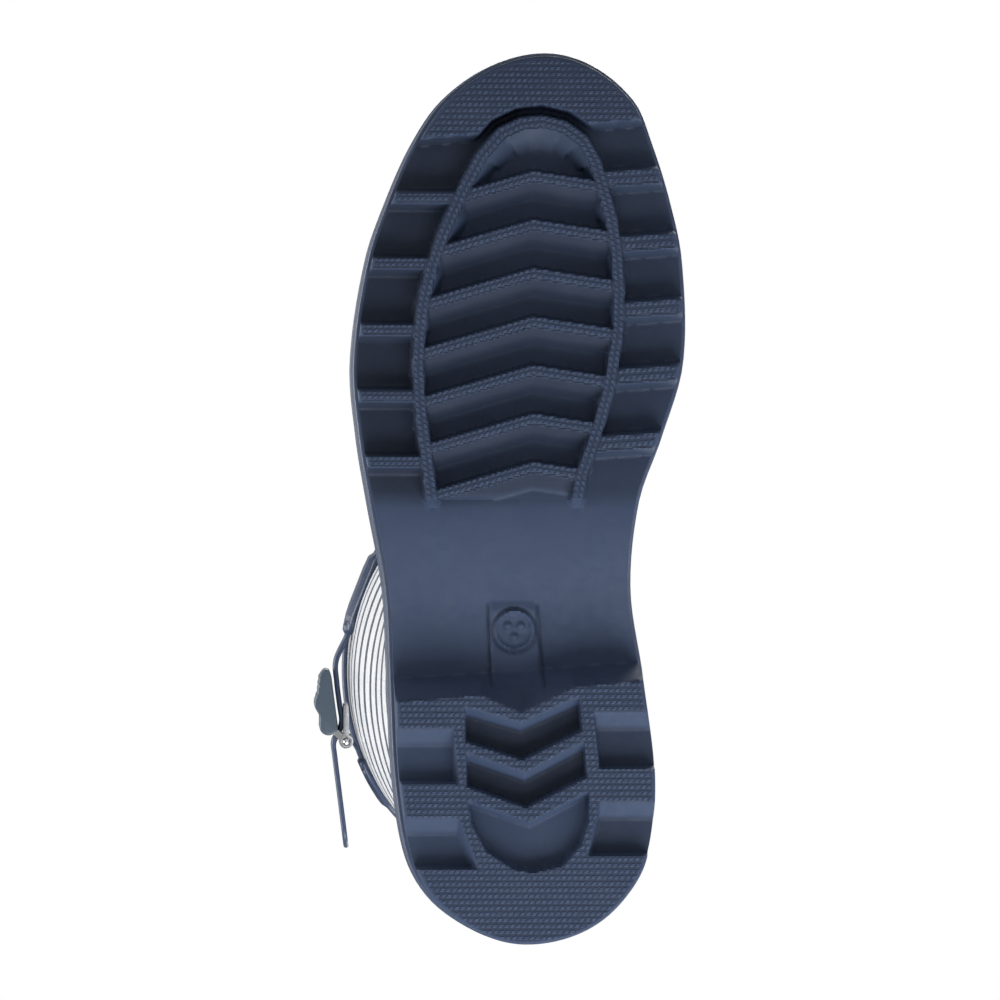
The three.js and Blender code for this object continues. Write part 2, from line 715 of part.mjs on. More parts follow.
// The cam lever: a long cover in front of its pin and a round nose behind, slotted for the cheeks.
function leverCover() {
  const front = pinX - leverLength + camRadius;
  const nose = Array.from({ length: 13 }, (_, i) => {
    const angle = -Math.PI / 2 + (Math.PI * i) / 12;
    return [pinX + camRadius * Math.cos(angle), pinOut + camRadius * Math.sin(angle)];
  });
  const profile = [
    ...nose,
    [pinX - 2.4, pinOut + 3],
    [pinX - 4.6, pinOut + 2.7],
    [pinX - 6.2, pinOut + 3.4],
    [pinX - 7.9, pinOut + 4.1],
    [pinX - 9.7, pinOut + 3.7],
    [pinX - 12, pinOut + 1.9],
    [front + 4.6, pinOut + 0.3],
    [front + 1.6, pinOut - 1],
    [front + 0.1, pinOut - 2.4],
    [front + 1, pinOut - 3.3],
    [front + 3.6, pinOut - 3.5],
  ].map(([along, out]) => atBuckle(along, out));
  const hole = extrudeUp(disc(...atBuckle(pinX, pinOut), eyeHole, 16), leverWidth);
  const slotFront = pinX - eyeRadius - 0.5;
  const slotCorners = [[slotFront, -5], [30, -5], [30, 30], [slotFront, 30]];
  const slot = slotCorners.map(([along, out]) => atBuckle(along, out));
  const slots = extrudeUp(slot, cheekInside + cheekThickness + gap)
    .subtract(extrudeUp(slot, cheekInside - gap));
  return extrudeUp(profile, leverWidth / 2).subtract(hole).subtract(slots);
}

const boardLift = gap;
const footbedLift = boardLift + insoleThickness + gap;
add("outsole", outsole(), navy);
add("heel_filler", heelFiller(), grey);
add("forefoot_filler", foreFiller(), grey);
add("shank", shank(), steel);
add("insole_board", insolePlate(liningInner + gap, boardLift, boardLift + insoleThickness), grey);
add("footbed", insolePlate(liningInner + 1, footbedLift, footbedLift + footbedThickness), grey);
add("upper_shell", bootShell(0, shellThickness, startLift, bindingThickness + gap), white);
add("toe_stiffener", stiffener(0, 8, 16), grey);
add("heel_stiffener", stiffener(Math.PI, 8, 38), grey);
add("lining", bootShell(liningOuter, liningInner, startLift + 0.4, bindingThickness + gap), grey);
add("foxing", foxing(), navy);
add("top_binding", topBinding(), navy);
add("front_anchor", frontAnchor(), navy);
add("rear_anchor", rearAnchor(), navy);
add("strap", strap(), navy);
add("buckle_tab", buckleTab(), navy);
add("hinge_bar", hingeBar(), steel);
add("link_frame", linkFrame(), steel);
add("lever_pin", leverPin(), steel);
add("lever_cover", leverCover(), slate);

export default group;
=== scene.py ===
import math

import bpy
import numpy as np
from mathutils import Matrix, Vector


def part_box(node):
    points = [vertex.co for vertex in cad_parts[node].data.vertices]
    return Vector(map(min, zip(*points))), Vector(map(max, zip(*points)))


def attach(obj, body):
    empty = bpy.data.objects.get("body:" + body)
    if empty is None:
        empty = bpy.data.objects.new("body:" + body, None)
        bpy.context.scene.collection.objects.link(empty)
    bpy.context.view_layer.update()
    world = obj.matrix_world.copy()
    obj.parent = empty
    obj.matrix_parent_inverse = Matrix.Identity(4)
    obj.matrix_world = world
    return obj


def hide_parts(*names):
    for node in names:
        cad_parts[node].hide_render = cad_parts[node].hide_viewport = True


# Deck boot, right foot: its looks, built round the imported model. Sizes are in millimetres.
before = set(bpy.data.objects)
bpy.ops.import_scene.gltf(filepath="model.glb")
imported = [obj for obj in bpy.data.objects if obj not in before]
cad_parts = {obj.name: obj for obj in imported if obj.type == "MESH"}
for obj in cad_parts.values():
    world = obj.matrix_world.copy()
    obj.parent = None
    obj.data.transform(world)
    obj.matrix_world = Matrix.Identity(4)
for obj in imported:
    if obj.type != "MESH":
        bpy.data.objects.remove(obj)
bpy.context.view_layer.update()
print("frame loaded:", len(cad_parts), "nodes")

mm = 0.001

# The camera comes first: below the boot, a little to the lateral side, toe up.
cameraSetup = {
    "aim": (-6.5, -131.0, 0.0),
    "distance": 2000.0,
    "sideTilt": 2.2,  # degrees towards the lateral side
    "endTilt": 0.0,  # degrees towards the heel
    "widthSeen": 323.6,
}


def addCamera(setup):
    data = bpy.data.cameras.new("camera")
    data.sensor_width = 36
    data.lens = data.sensor_width * setup["distance"] / setup["widthSeen"]
    data.clip_start = 0.01
    data.clip_end = 50
    cam = bpy.data.objects.new("camera", data)
    bpy.context.scene.collection.objects.link(cam)
    side = math.radians(setup["sideTilt"])
    end = math.radians(setup["endTilt"])
    back = Vector((-math.sin(side), math.sin(end), -math.cos(side) * math.cos(end))).normalized()
    cam.location = Vector(setup["aim"]) * mm + back * setup["distance"] * mm
    right = Vector((0, -1, 0)).cross(back).normalized()
    cam.rotation_euler = Matrix((right, back.cross(right), back)).transposed().to_euler()
    bpy.context.scene.camera = cam


addCamera(cameraSetup)

# Boot form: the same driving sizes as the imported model. The toe points towards -Y, the medial side is +X.
form = {
    "soleLength": 288.0, "soleWidth": 105.0, "heelBack": 13.0, "foreHeight": 14.0, "heelHeight": 30.0,
    "riseFrom": 0.42, "riseOver": 0.36, "bootHeight": 300.0, "ankleHeight": 155.0, "rimLength": 136.0,
    "rimWidth": 104.0, "strapZ": 262.0,
}
toeTip = form["heelBack"] - form["soleLength"]
rimFront = -form["rimLength"]

# Share of the sole's length from the toe, then its lateral and medial edges as shares of its width.
outlineStations = np.array([
    [0, 0.082, 0.082], [0.05, -0.219, 0.342], [0.1, -0.315, 0.402], [0.165, -0.395, 0.457],
    [0.23, -0.456, 0.493], [0.345, -0.502, 0.497], [0.43, -0.484, 0.429], [0.5, -0.452, 0.362],
    [0.6, -0.402, 0.338], [0.7, -0.387, 0.38], [0.815, -0.371, 0.418], [0.905, -0.33, 0.391],
    [0.95, -0.262, 0.321], [0.983, -0.145, 0.212], [1, 0.022, 0.022],
])


def lerp(a, b, t):
    return a + (b - a) * t


def clamp01(v):
    return np.clip(v, 0.0, 1.0)


def ease(v):
    v = clamp01(v)
    return v * v * (3 - 2 * v)


def smoothThrough(at, values, t):  # cubic through (at, value) with slopes from the neighbours
    t = np.asarray(t, float)
    last = len(at) - 1
    i = np.clip(np.searchsorted(at, t, side="left") - 1, 0, last - 1)
    low = np.maximum(np.arange(last + 1) - 1, 0)
    high = np.minimum(np.arange(last + 1) + 1, last)
    slope = (values[high] - values[low]) / (at[high] - at[low])
    span = at[i + 1] - at[i]
    u = (t - at[i]) / span
    return ((2 * u**3 - 3 * u**2 + 1) * values[i] + (u**3 - 2 * u**2 + u) * span * slope[i]
            + (3 * u**2 - 2 * u**3) * values[i + 1] + (u**3 - u**2) * span * slope[i + 1])


outlineTheta = np.arccos(1 - 2 * outlineStations[:, 0])


def outlineX(theta, side):
    lateral = smoothThrough(outlineTheta, outlineStations[:, 1] * form["soleWidth"], theta)
    medial = smoothThrough(outlineTheta, outlineStations[:, 2] * form["soleWidth"], theta)
    return np.where(np.asarray(side) > 0, medial, lateral)


def soleTop(share):  # height of the sole's top edge
    rise = ease((share - form["riseFrom"]) / form["riseOver"])
    return lerp(form["foreHeight"], form["heelHeight"], rise)


def foldAngle(angle):  # an angle round the boot as one from toe to heel, and its side
    turn = np.mod(angle, 2 * np.pi)
    medial = turn <= np.pi
    return np.where(medial, turn, 2 * np.pi - turn), np.where(medial, 1.0, -1.0)


def shaftHeight(share):
    return lerp(form["ankleHeight"], form["bootHeight"], share)


# Rings of the outer surface: the first three hug the sole, the others are ovals from front to back.
soleRings = [(-8.0, 0.0), (0.0, 0.0), (13.0, 0.4)]
ovalRings = [  # front y, front z, back y, back z, half width, x of the middle, share of the sole's outline
    (toeTip + 4, 44, 14, 58, 46, 2, 0.9),
    (toeTip + 19, 61, 13, 74, 42, 2, 0.62),
    (toeTip + 58, 78, 9, 95, 38, 1, 0.25),
    (toeTip + 108, 106, 5, 122, 37, 1, 0),
    (toeTip + 140, 139, 2, 149, 40, 0, 0),
    (rimFront + 8, shaftHeight(0.2), 1, shaftHeight(0.2), form["rimWidth"] / 2 - 7, 0, 0),
    (rimFront + 2, shaftHeight(0.48), 0, shaftHeight(0.48), form["rimWidth"] / 2, 0, 0),
    (rimFront, shaftHeight(0.75), 0, shaftHeight(0.75), form["rimWidth"] / 2, 0, 0),
    (rimFront, form["bootHeight"], 0, form["bootHeight"], form["rimWidth"] / 2, 0, 0),
]


def ringCurves(angles):
    theta, side = foldAngle(angles)
    share = (1 - np.cos(theta)) / 2
    edge = outlineX(theta, side)
    curves = []
    for lift, grow in soleRings:
        x = edge + side * grow * np.sin(theta)
        y = lerp(toeTip - grow, form["heelBack"] + grow, share)
        curves.append(np.stack([x, y, soleTop(share) + lift], -1))
    for y0, z0, y1, z1, half, mid, sole in ovalRings:
        x = lerp(mid + side * half * np.sin(theta), edge, sole)
        curves.append(np.stack([x, lerp(y0, y1, share), lerp(z0, z1, share)], -1))
    return np.array(curves)


bootGrid = {  # points around and up, then where lumps are calmed, counted in the rings above
    "around": 192, "up": 150, "calmPasses": 84, "calmShare": 0.6, "calmFrom": 2.2, "calmTo": 10.6,
    "calmFade": 0.8,
}


def curveThrough(a, b, c, d, u):  # from b to c, with a and d as the neighbours
    return ((-u + 2 * u**2 - u**3) * a + (2 - 5 * u**2 + 3 * u**3) * b
            + (u + 4 * u**2 - 3 * u**3) * c + (-u**2 + u**3) * d) / 2


def masterSurface(grid):  # the outer skin as a fine grid [around][up]
    rings = ringCurves(np.linspace(0, 2 * np.pi, grid["around"], endpoint=False))
    levels = np.linspace(0, len(rings) - 1, grid["up"])
    i = np.clip(np.floor(levels).astype(int), 0, len(rings) - 2)
    near = [rings[np.clip(i + k, 0, len(rings) - 1)] for k in (-1, 0, 1, 2)]
    skin = curveThrough(*near, (levels - i)[:, None, None])
    begun = ease((levels - grid["calmFrom"]) / grid["calmFade"])
    ending = ease((grid["calmTo"] - levels) / grid["calmFade"])
    weight = grid["calmShare"] * (begun * ending)[:, None, None]
    for _ in range(grid["calmPasses"]):
        middle = skin.copy()
        middle[1:-1] = (skin[:-2] + skin[2:]) / 2
        sideways = (np.roll(skin, 1, 1) + np.roll(skin, -1, 1)) / 2
        skin = lerp(skin, (middle * 2 + sideways) / 3, weight)
    return skin.transpose(1, 0, 2)


def gridNormals(skin):
    around = np.roll(skin, -1, 0) - np.roll(skin, 1, 0)
    up = np.gradient(skin, axis=1)
    n = np.cross(around, up)
    return n / np.linalg.norm(n, axis=-1, keepdims=True)


skin = masterSurface(bootGrid)
skinNormals = gridNormals(skin)


def onSkin(angle, height, out):  # a point of the skin at an angle and a height, moved out along its normal
    angle, height, out = np.broadcast_arrays(*(np.asarray(v, float) for v in (angle, height, out)))
    shape = angle.shape
    angle, height, out = angle.ravel(), height.ravel(), out.ravel()
    steps = np.mod(angle, 2 * np.pi) / (2 * np.pi) * len(skin)
    i = np.floor(steps).astype(int) % len(skin)
    f = (steps - np.floor(steps))[:, None]
    k = (i + 1) % len(skin)
    column = lerp(skin[i], skin[k], f[:, :, None])
    normals = lerp(skinNormals[i], skinNormals[k], f[:, :, None])
    z = column[:, :, 2]
    j = np.clip((z < height[:, None]).sum(1) - 1, 0, z.shape[1] - 2)
    rows = np.arange(len(j))
    t = clamp01((height - z[rows, j]) / np.maximum(z[rows, j + 1] - z[rows, j], 1e-6))[:, None]
    point = lerp(column[rows, j], column[rows, j + 1], t)
    normal = lerp(normals[rows, j], normals[rows, j + 1], t)
    normal /= np.linalg.norm(normal, axis=1, keepdims=True)
    return (point + normal * out[:, None]).reshape(*shape, 3)


# Meshes
def makeObject(name, points, faces, smoothAngle=40):
    mesh = bpy.data.meshes.new(name)
    mesh.from_pydata((np.asarray(points).reshape(-1, 3) * mm).tolist(), [], faces)
    mesh.validate()
    mesh.update()
    mesh.shade_smooth()
    mesh.set_sharp_from_angle(angle=math.radians(smoothAngle))
    obj = bpy.data.objects.new(name, mesh)
    bpy.context.scene.collection.objects.link(obj)
    return obj


def tubeFaces(stations, size, closed):  # faces of closed sections carried through stations, with strip ends
    faces = []
    for i in range(stations if closed else stations - 1):
        k = (i + 1) % stations
        for j in range(size):
            m = (j + 1) % size
            faces.append((i * size + j, k * size + j, k * size + m, i * size + m))
    if not closed:
        last = (stations - 1) * size
        for j in range(size // 2 - 1):
            across = size - 1 - j
            faces.append((j, j + 1, across - 1, across))
            faces.append((last + across, last + across - 1, last + j + 1, last + j))
    return faces


def tubeObject(name, sections, closed=False, smoothAngle=40):
    sections = np.asarray(sections, float)
    faces = tubeFaces(sections.shape[0], sections.shape[1], closed)
    obj = makeObject(name, sections, faces, smoothAngle)
    faceOutwards(obj)
    return obj


def faceOutwards(obj):
    mesh = obj.data
    co = np.zeros(len(mesh.vertices) * 3)
    mesh.vertices.foreach_get("co", co)
    co = co.reshape(-1, 3)
    mesh.calc_loop_triangles()
    tri = np.zeros(len(mesh.loop_triangles) * 3, int)
    mesh.loop_triangles.foreach_get("vertices", tri)
    a, b, c = (co[tri.reshape(-1, 3)[:, k]] for k in range(3))
    if np.einsum("ij,ij->i", a, np.cross(b, c)).sum() < 0:
        mesh.flip_normals()


def applied(obj):  # its modifiers become its mesh
    deps = bpy.context.evaluated_depsgraph_get()
    mesh = bpy.data.meshes.new_from_object(obj.evaluated_get(deps))
    old = obj.data
    obj.modifiers.clear()
    obj.data = mesh
    bpy.data.meshes.remove(old)
    return obj


def storeFloat(obj, name, values):
    attribute = obj.data.attributes.new(name, "FLOAT", "POINT")
    attribute.data.foreach_set("value", np.asarray(values, np.float32).ravel())


# Shader building
def put(tree, kind, values=None, **settings):
    node = tree.nodes.new(kind)
    for key, value in settings.items():
        setattr(node, key, value)
    for key, value in (values or {}).items():
        node.inputs[key].default_value = value
    return node


def wire(tree, source, target):
    tree.links.new(source, target)


def maths(tree, operation, a, b=None):
    node = put(tree, "ShaderNodeMath", operation=operation)
    for k, value in enumerate((a, b)):
        if value is None:
            continue
        if isinstance(value, (int, float)):
            node.inputs[k].default_value = value
        else:
            wire(tree, value, node.inputs[k])
    return node.outputs[0]


def ramp(tree, source, stops):
    node = put(tree, "ShaderNodeValToRGB")
    while len(node.color_ramp.elements) < len(stops):
        node.color_ramp.elements.new(0.5)
    for element, (position, value) in zip(node.color_ramp.elements, stops):
        element.position = position
        element.color = (value, value, value, 1)
    wire(tree, source, node.inputs[0])
    return node.outputs[0]


def newGroup(name, inputs, outputs):
    tree = bpy.data.node_groups.new(name, "ShaderNodeTree")
    for label, value in inputs.items():
        socket = tree.interface.new_socket(name=label, in_out="INPUT", socket_type="NodeSocketFloat")
        socket.default_value = value
    for label in outputs:
        tree.interface.new_socket(name=label, in_out="OUTPUT", socket_type="NodeSocketFloat")
    return tree, tree.nodes.new("NodeGroupInput"), tree.nodes.new("NodeGroupOutput")


def objectPlace(tree, size):  # object coordinates in steps of a size given in millimetres
    coords = put(tree, "ShaderNodeTexCoord")
    scaled = put(tree, "ShaderNodeVectorMath", operation="SCALE")
    wire(tree, coords.outputs["Object"], scaled.inputs[0])
    factor = maths(tree, "DIVIDE", 1000.0, size)
    wire(tree, factor, scaled.inputs["Scale"])
    return scaled.outputs[0]


def noiseOf(tree, place, scale, detail=2.0, roughness=0.5):
    node = put(tree, "ShaderNodeTexNoise", {"Scale": scale, "Detail": detail, "Roughness": roughness})
    wire(tree, place, node.inputs["Vector"])
    return node.outputs[0]


def makeGrainGroup():  # fine moulded grain, and a slow change of tone
    tree, given, out = newGroup("rubberGrain", {"Size": 0.6}, ["Height", "Mottle", "Cloud"])
    place = objectPlace(tree, given.outputs["Size"])
    fine = noiseOf(tree, place, 1.0, 3.0, 0.6)
    wire(tree, fine, out.inputs["Height"])
    wire(tree, ramp(tree, noiseOf(tree, place, 0.16, 3.0), [(0.35, 0.0), (0.68, 1.0)]), out.inputs["Mottle"])
    wire(tree, ramp(tree, noiseOf(tree, place, 0.022, 2.0), [(0.38, 0.0), (0.64, 1.0)]), out.inputs["Cloud"])
    return tree


def makeEdgeGroup():  # rubbed corners, broken up by noise
    tree, given, out = newGroup("edgeWear", {"Amount": 1.0, "Size": 3.0}, ["Mask"])
    geometry = put(tree, "ShaderNodeNewGeometry")
    corner = ramp(tree, geometry.outputs["Pointiness"], [(0.515, 0.0), (0.6, 1.0)])
    noise = noiseOf(tree, objectPlace(tree, given.outputs["Size"]), 1.0, 4.0)
    broken = ramp(tree, noise, [(0.3, 0.25), (0.7, 1.0)])
    worn = maths(tree, "MULTIPLY", maths(tree, "MULTIPLY", corner, broken), given.outputs["Amount"])
    wire(tree, worn, out.inputs["Mask"])
    return tree


def makeDustGroup():  # soft patches and small specks
    tree, given, out = newGroup("dust", {"Size": 18.0, "Amount": 0.5}, ["Mask"])
    place = objectPlace(tree, given.outputs["Size"])
    patches = ramp(tree, noiseOf(tree, place, 1.0, 5.0, 0.65), [(0.45, 0.0), (0.75, 1.0)])
    specks = ramp(tree, noiseOf(tree, place, 14.0, 2.0), [(0.62, 0.0), (0.7, 1.0)])
    both = maths(tree, "MAXIMUM", patches, maths(tree, "MULTIPLY", specks, 0.5))
    wire(tree, maths(tree, "MULTIPLY", both, given.outputs["Amount"]), out.inputs["Mask"])
    return tree


def attributeOf(tree, name):
    return put(tree, "ShaderNodeAttribute", attribute_name=name).outputs["Fac"]


def makeTreadGroup():  # rows of short slanted dashes raised on the lug tops, and the pockets' painted shade
    names = {"Pitch": 1.9, "Row": 1.8, "Slant": 0.5, "Depth": 1.0}
    tree, given, out = newGroup("treadMarks", names, ["Height", "Top", "Depth"])
    along = attributeOf(tree, "treadU")
    across = attributeOf(tree, "treadV")
    slanted = maths(tree, "ADD", along, maths(tree, "MULTIPLY", across, given.outputs["Slant"]))
    rows = maths(tree, "DIVIDE", across, given.outputs["Row"])
    shift = maths(tree, "MULTIPLY", maths(tree, "FLOOR", rows), 0.37)
    steps = maths(tree, "ADD", maths(tree, "DIVIDE", slanted, given.outputs["Pitch"]), shift)
    halves = []
    for source, low, high in ((steps, 0.26, 0.4), (rows, 0.2, 0.36)):
        middle = maths(tree, "ABSOLUTE", maths(tree, "SUBTRACT", maths(tree, "FRACT", source), 0.5))
        halves.append(ramp(tree, middle, [(low, 1.0), (high, 0.0)]))
    dash = maths(tree, "MULTIPLY", halves[0], halves[1])
    rubbed = ramp(tree, noiseOf(tree, objectPlace(tree, 2.6), 1.0, 3.0), [(0.36, 0.35), (0.62, 1.0)])
    dash = maths(tree, "MULTIPLY", dash, rubbed)
    top = attributeOf(tree, "lugTop")
    raised = maths(tree, "MULTIPLY", maths(tree, "MULTIPLY", dash, top), given.outputs["Depth"])
    wire(tree, raised, out.inputs["Height"])
    wire(tree, top, out.inputs["Top"])
    # the Depth output is the painted shade of pocket floors and creases
    wire(tree, attributeOf(tree, "paintedShadeMask"), out.inputs["Depth"])
    return tree


def makeKnitGroup():  # rows of small loops, from the piece's own cloth coordinates in millimetres
    tree, given, out = newGroup("knit", {"Pitch": 1.4}, ["Height", "Tone"])
    cells = []
    for name, phase in (("clothU", 0.0), ("clothV", 0.25)):
        steps = maths(tree, "DIVIDE", attributeOf(tree, name), given.outputs["Pitch"])
        turns = maths(tree, "MULTIPLY", maths(tree, "ADD", steps, phase), 2 * math.pi)
        cells.append(maths(tree, "SINE", turns))
    height = maths(tree, "ADD", maths(tree, "MULTIPLY", cells[0], cells[1]), 1.0)
    fuzz = noiseOf(tree, objectPlace(tree, 0.5), 1.0, 3.0)
    wire(tree, maths(tree, "ADD", maths(tree, "MULTIPLY", height, 0.5), fuzz), out.inputs["Height"])
    patches = noiseOf(tree, objectPlace(tree, 9.0), 1.0, 3.0)
    wire(tree, ramp(tree, patches, [(0.35, 0.0), (0.65, 1.0)]), out.inputs["Tone"])
    return tree


def makeRingGroup():  # thin level rings up the shaft, with edges a print would have
    names = {"Pitch": 12.0, "Share": 0.5, "Start": 46.0, "Soft": 0.015}
    tree, given, out = newGroup("shaftRings", names, ["Mask", "Height"])
    height = attributeOf(tree, "ringHeight")
    wobble = maths(tree, "SUBTRACT", noiseOf(tree, objectPlace(tree, 6.0), 1.0), 0.5)
    wobble = maths(tree, "MULTIPLY", wobble, 0.25)
    steps = maths(tree, "DIVIDE", maths(tree, "ADD", height, wobble), given.outputs["Pitch"])
    middle = maths(tree, "ABSOLUTE", maths(tree, "SUBTRACT", maths(tree, "FRACT", steps), 0.5))
    edge = maths(tree, "SUBTRACT", maths(tree, "MULTIPLY", given.outputs["Share"], 0.5), middle)
    mask = maths(tree, "ADD", maths(tree, "DIVIDE", edge, given.outputs["Soft"]), 0.5)
    limited = put(tree, "ShaderNodeClamp")
    wire(tree, mask, limited.inputs[0])
    begun = maths(tree, "GREATER_THAN", height, given.outputs["Start"])
    both = maths(tree, "MULTIPLY", limited.outputs[0], begun)
    wire(tree, both, out.inputs["Mask"])
    wire(tree, maths(tree, "MULTIPLY", both, 0.5), out.inputs["Height"])
    return tree


groups = {
    "grain": makeGrainGroup(),
    "edge": makeEdgeGroup(),
    "dust": makeDustGroup(),
    "tread": makeTreadGroup(),
    "knit": makeKnitGroup(),
    "rings": makeRingGroup(),
}


def useGroup(tree, name, **values):
    node = put(tree, "ShaderNodeGroup", node_tree=groups[name])
    for label, value in values.items():
        node.inputs[label].default_value = value
    return node


def mixColours(tree, factor, low, high):
    node = put(tree, "ShaderNodeMix", data_type="RGBA")
    wire(tree, factor, node.inputs["Factor"])
    for socket, value in ((node.inputs["A"], low), (node.inputs["B"], high)):
        if isinstance(value, tuple):
            socket.default_value = (*value, 1)
        else:
            wire(tree, value, socket)
    return node.outputs["Result"]


def newMaterial(name, roughness, metallic=0.0, specular=0.5, coat=0.0, coatRoughness=0.2, sheen=0.0):
    material = bpy.data.materials.new(name)
    material.use_nodes = True
    tree = material.node_tree
    shader = tree.nodes["Principled BSDF"]
    shader.inputs["Roughness"].default_value = roughness
    shader.inputs["Metallic"].default_value = metallic
    shader.inputs["Specular IOR Level"].default_value = specular
    shader.inputs["Coat Weight"].default_value = coat
    shader.inputs["Coat Roughness"].default_value = coatRoughness
    shader.inputs["Sheen Weight"].default_value = sheen
    return material, tree, shader


def bumpInto(tree, shader, height, distance, under=None):
    bump = put(tree, "ShaderNodeBump", {"Strength": 1.0, "Distance": distance * mm})
    wire(tree, height, bump.inputs["Height"])
    if under is not None:
        wire(tree, under, bump.inputs["Normal"])
    wire(tree, bump.outputs[0], shader.inputs["Normal"])
    return bump.outputs[0]


def roughnessInto(tree, shader, mask, low, high):
    spread = put(tree, "ShaderNodeMapRange", {"To Min": low, "To Max": high})
    wire(tree, mask, spread.inputs["Value"])
    wire(tree, spread.outputs[0], shader.inputs["Roughness"])


def rubberMaterial(look):  # navy rubber of the sole and trim
    material, tree, shader = newMaterial(look["name"], look["rough"][0], specular=look["specular"])
    grain = useGroup(tree, "grain", Size=look["grain"])
    edge = useGroup(tree, "edge", Amount=look["wear"])
    dust = useGroup(tree, "dust", Amount=look["dust"])
    colour = mixColours(tree, grain.outputs["Cloud"], look["colour"], look["shade"])
    colour = mixColours(tree, grain.outputs["Mottle"], colour, look["fleck"])
    if "top" in look:
        tread = useGroup(tree, "tread")
        # painted shade: pocket floors and creases take the darker floor colour
        floor = mixColours(tree, tread.outputs["Depth"], colour, look["floor"])
        lifted = mixColours(tree, tread.outputs["Top"], floor, look["top"])
        colour = mixColours(tree, tread.outputs["Height"], lifted, look["mark"])
    colour = mixColours(tree, edge.outputs["Mask"], colour, look["worn"])
    colour = mixColours(tree, dust.outputs["Mask"], colour, look["dusty"])
    wire(tree, colour, shader.inputs["Base Color"])
    roughnessInto(tree, shader, grain.outputs["Mottle"], *look["rough"])
    normal = bumpInto(tree, shader, grain.outputs["Height"], look["bump"])
    if "top" in look:
        bumpInto(tree, shader, tread.outputs["Height"], look["markDepth"], under=normal)
    return material


def navy(level):  # the boot's navy at a brightness
    return (0.52 * level, 0.79 * level, 1.5 * level)


# floor is the colour of the painted shade in pockets and creases
soleLook = {
    "name": "soleRubber", "colour": navy(0.069), "shade": navy(0.077), "fleck": navy(0.071),
    "worn": navy(0.11), "dusty": (0.08, 0.1, 0.145), "top": navy(0.048), "floor": navy(0.03),
    "mark": navy(0.094), "rough": (0.55, 0.68), "specular": 0.22, "grain": 0.5, "wear": 0.35, "dust": 0.12,
    "bump": 0.05, "markDepth": 0.3,
}
trimLook = {
    "name": "trimRubber", "colour": navy(0.062), "shade": navy(0.074), "fleck": navy(0.066),
    "worn": navy(0.13), "dusty": (0.14, 0.16, 0.2), "rough": (0.3, 0.42), "specular": 0.5, "grain": 0.45,
    "wear": 0.5, "dust": 0.1, "bump": 0.035,
}
slateLook = {
    "name": "slatePlastic", "colour": (0.052, 0.076, 0.106), "shade": (0.06, 0.086, 0.118),
    "fleck": (0.056, 0.08, 0.11), "worn": (0.17, 0.2, 0.24), "dusty": (0.18, 0.2, 0.23),
    "rough": (0.32, 0.45), "specular": 0.5, "grain": 0.35, "wear": 0.6, "dust": 0.12, "bump": 0.03,
}
foamLook = {
    "name": "coreFoam", "colour": (0.1, 0.105, 0.12), "shade": (0.13, 0.135, 0.15),
    "fleck": (0.08, 0.085, 0.1), "worn": (0.2, 0.2, 0.22), "dusty": (0.2, 0.2, 0.2),
    "rough": (0.8, 0.95), "specular": 0.25, "grain": 1.1, "wear": 0.2, "dust": 0.2, "bump": 0.3,
}
boardLook = {
    "name": "fibreBoard", "colour": (0.3, 0.235, 0.16), "shade": (0.36, 0.29, 0.2),
    "fleck": (0.24, 0.18, 0.12), "worn": (0.5, 0.42, 0.32), "dusty": (0.45, 0.4, 0.34),
    "rough": (0.75, 0.95), "specular": 0.25, "grain": 0.8, "wear": 0.5, "dust": 0.2, "bump": 0.12,
}


def shaftMaterial(look):  # white rubber with navy rings printed round it
    material, tree, shader = newMaterial(
        look["name"], look["rough"][0], coat=look["coat"], coatRoughness=look["coatRough"])
    rings = useGroup(tree, "rings", Pitch=look["pitch"], Share=look["share"], Start=look["start"])
    grain = useGroup(tree, "grain", Size=look["grain"])
    dust = useGroup(tree, "dust", Amount=look["dust"], Size=look["dustSize"])
    white = mixColours(tree, grain.outputs["Cloud"], look["white"], look["cream"])
    colour = mixColours(tree, rings.outputs["Mask"], white, look["navy"])
    colour = mixColours(tree, dust.outputs["Mask"], colour, look["dusty"])
    wire(tree, colour, shader.inputs["Base Color"])
    roughnessInto(tree, shader, grain.outputs["Mottle"], *look["rough"])
    normal = bumpInto(tree, shader, grain.outputs["Height"], look["bump"])
    bumpInto(tree, shader, rings.outputs["Height"], look["printDepth"], under=normal)
    return material


shaftLook = {
    "name": "shaftRubber", "pitch": 12.0, "share": 0.34, "start": 8.0, "white": (0.86, 0.875, 0.89),
    "cream": (0.82, 0.83, 0.84), "navy": navy(0.068), "dusty": (0.6, 0.6, 0.58), "dust": 0.06,
    "dustSize": 30.0, "rough": (0.24, 0.34), "coat": 0.25, "coatRough": 0.15, "grain": 0.9, "bump": 0.03,
    "printDepth": 0.12,
}


def clothMaterial(look):  # knitted lining, and the footbed's cloth; the hollows between the loops get painted shade
    material, tree, shader = newMaterial(look["name"], look["rough"], specular=0.2, sheen=look["sheen"])
    knit = useGroup(tree, "knit", Pitch=look["pitch"])
    colour = mixColours(tree, knit.outputs["Tone"], look["colour"], look["shade"])
    # painted shade: low parts of the knit are darkened towards the gap colour
    paintedKnitLight = ramp(tree, knit.outputs["Height"], [(0.3, 0.72), (1.0, 1.0)])
    colour = mixColours(tree, paintedKnitLight, look["gap"], colour)
    wire(tree, colour, shader.inputs["Base Color"])
    bumpInto(tree, shader, knit.outputs["Height"], look["bump"])
    return material


# in both looks, gap is the colour of the painted shade between the loops
liningLook = {
    "name": "liningKnit", "colour": (0.62, 0.64, 0.66), "shade": (0.54, 0.56, 0.59), "gap": (0.3, 0.32, 0.35),
    "pitch": 1.5, "rough": 0.9, "sheen": 0.3, "bump": 0.25,
}
footbedLook = {
    "name": "footbedCloth", "colour": (0.075, 0.1, 0.16), "shade": (0.06, 0.08, 0.13),
    "gap": (0.02, 0.026, 0.045), "pitch": 1.2, "rough": 0.85, "sheen": 0.4, "bump": 0.25,
}


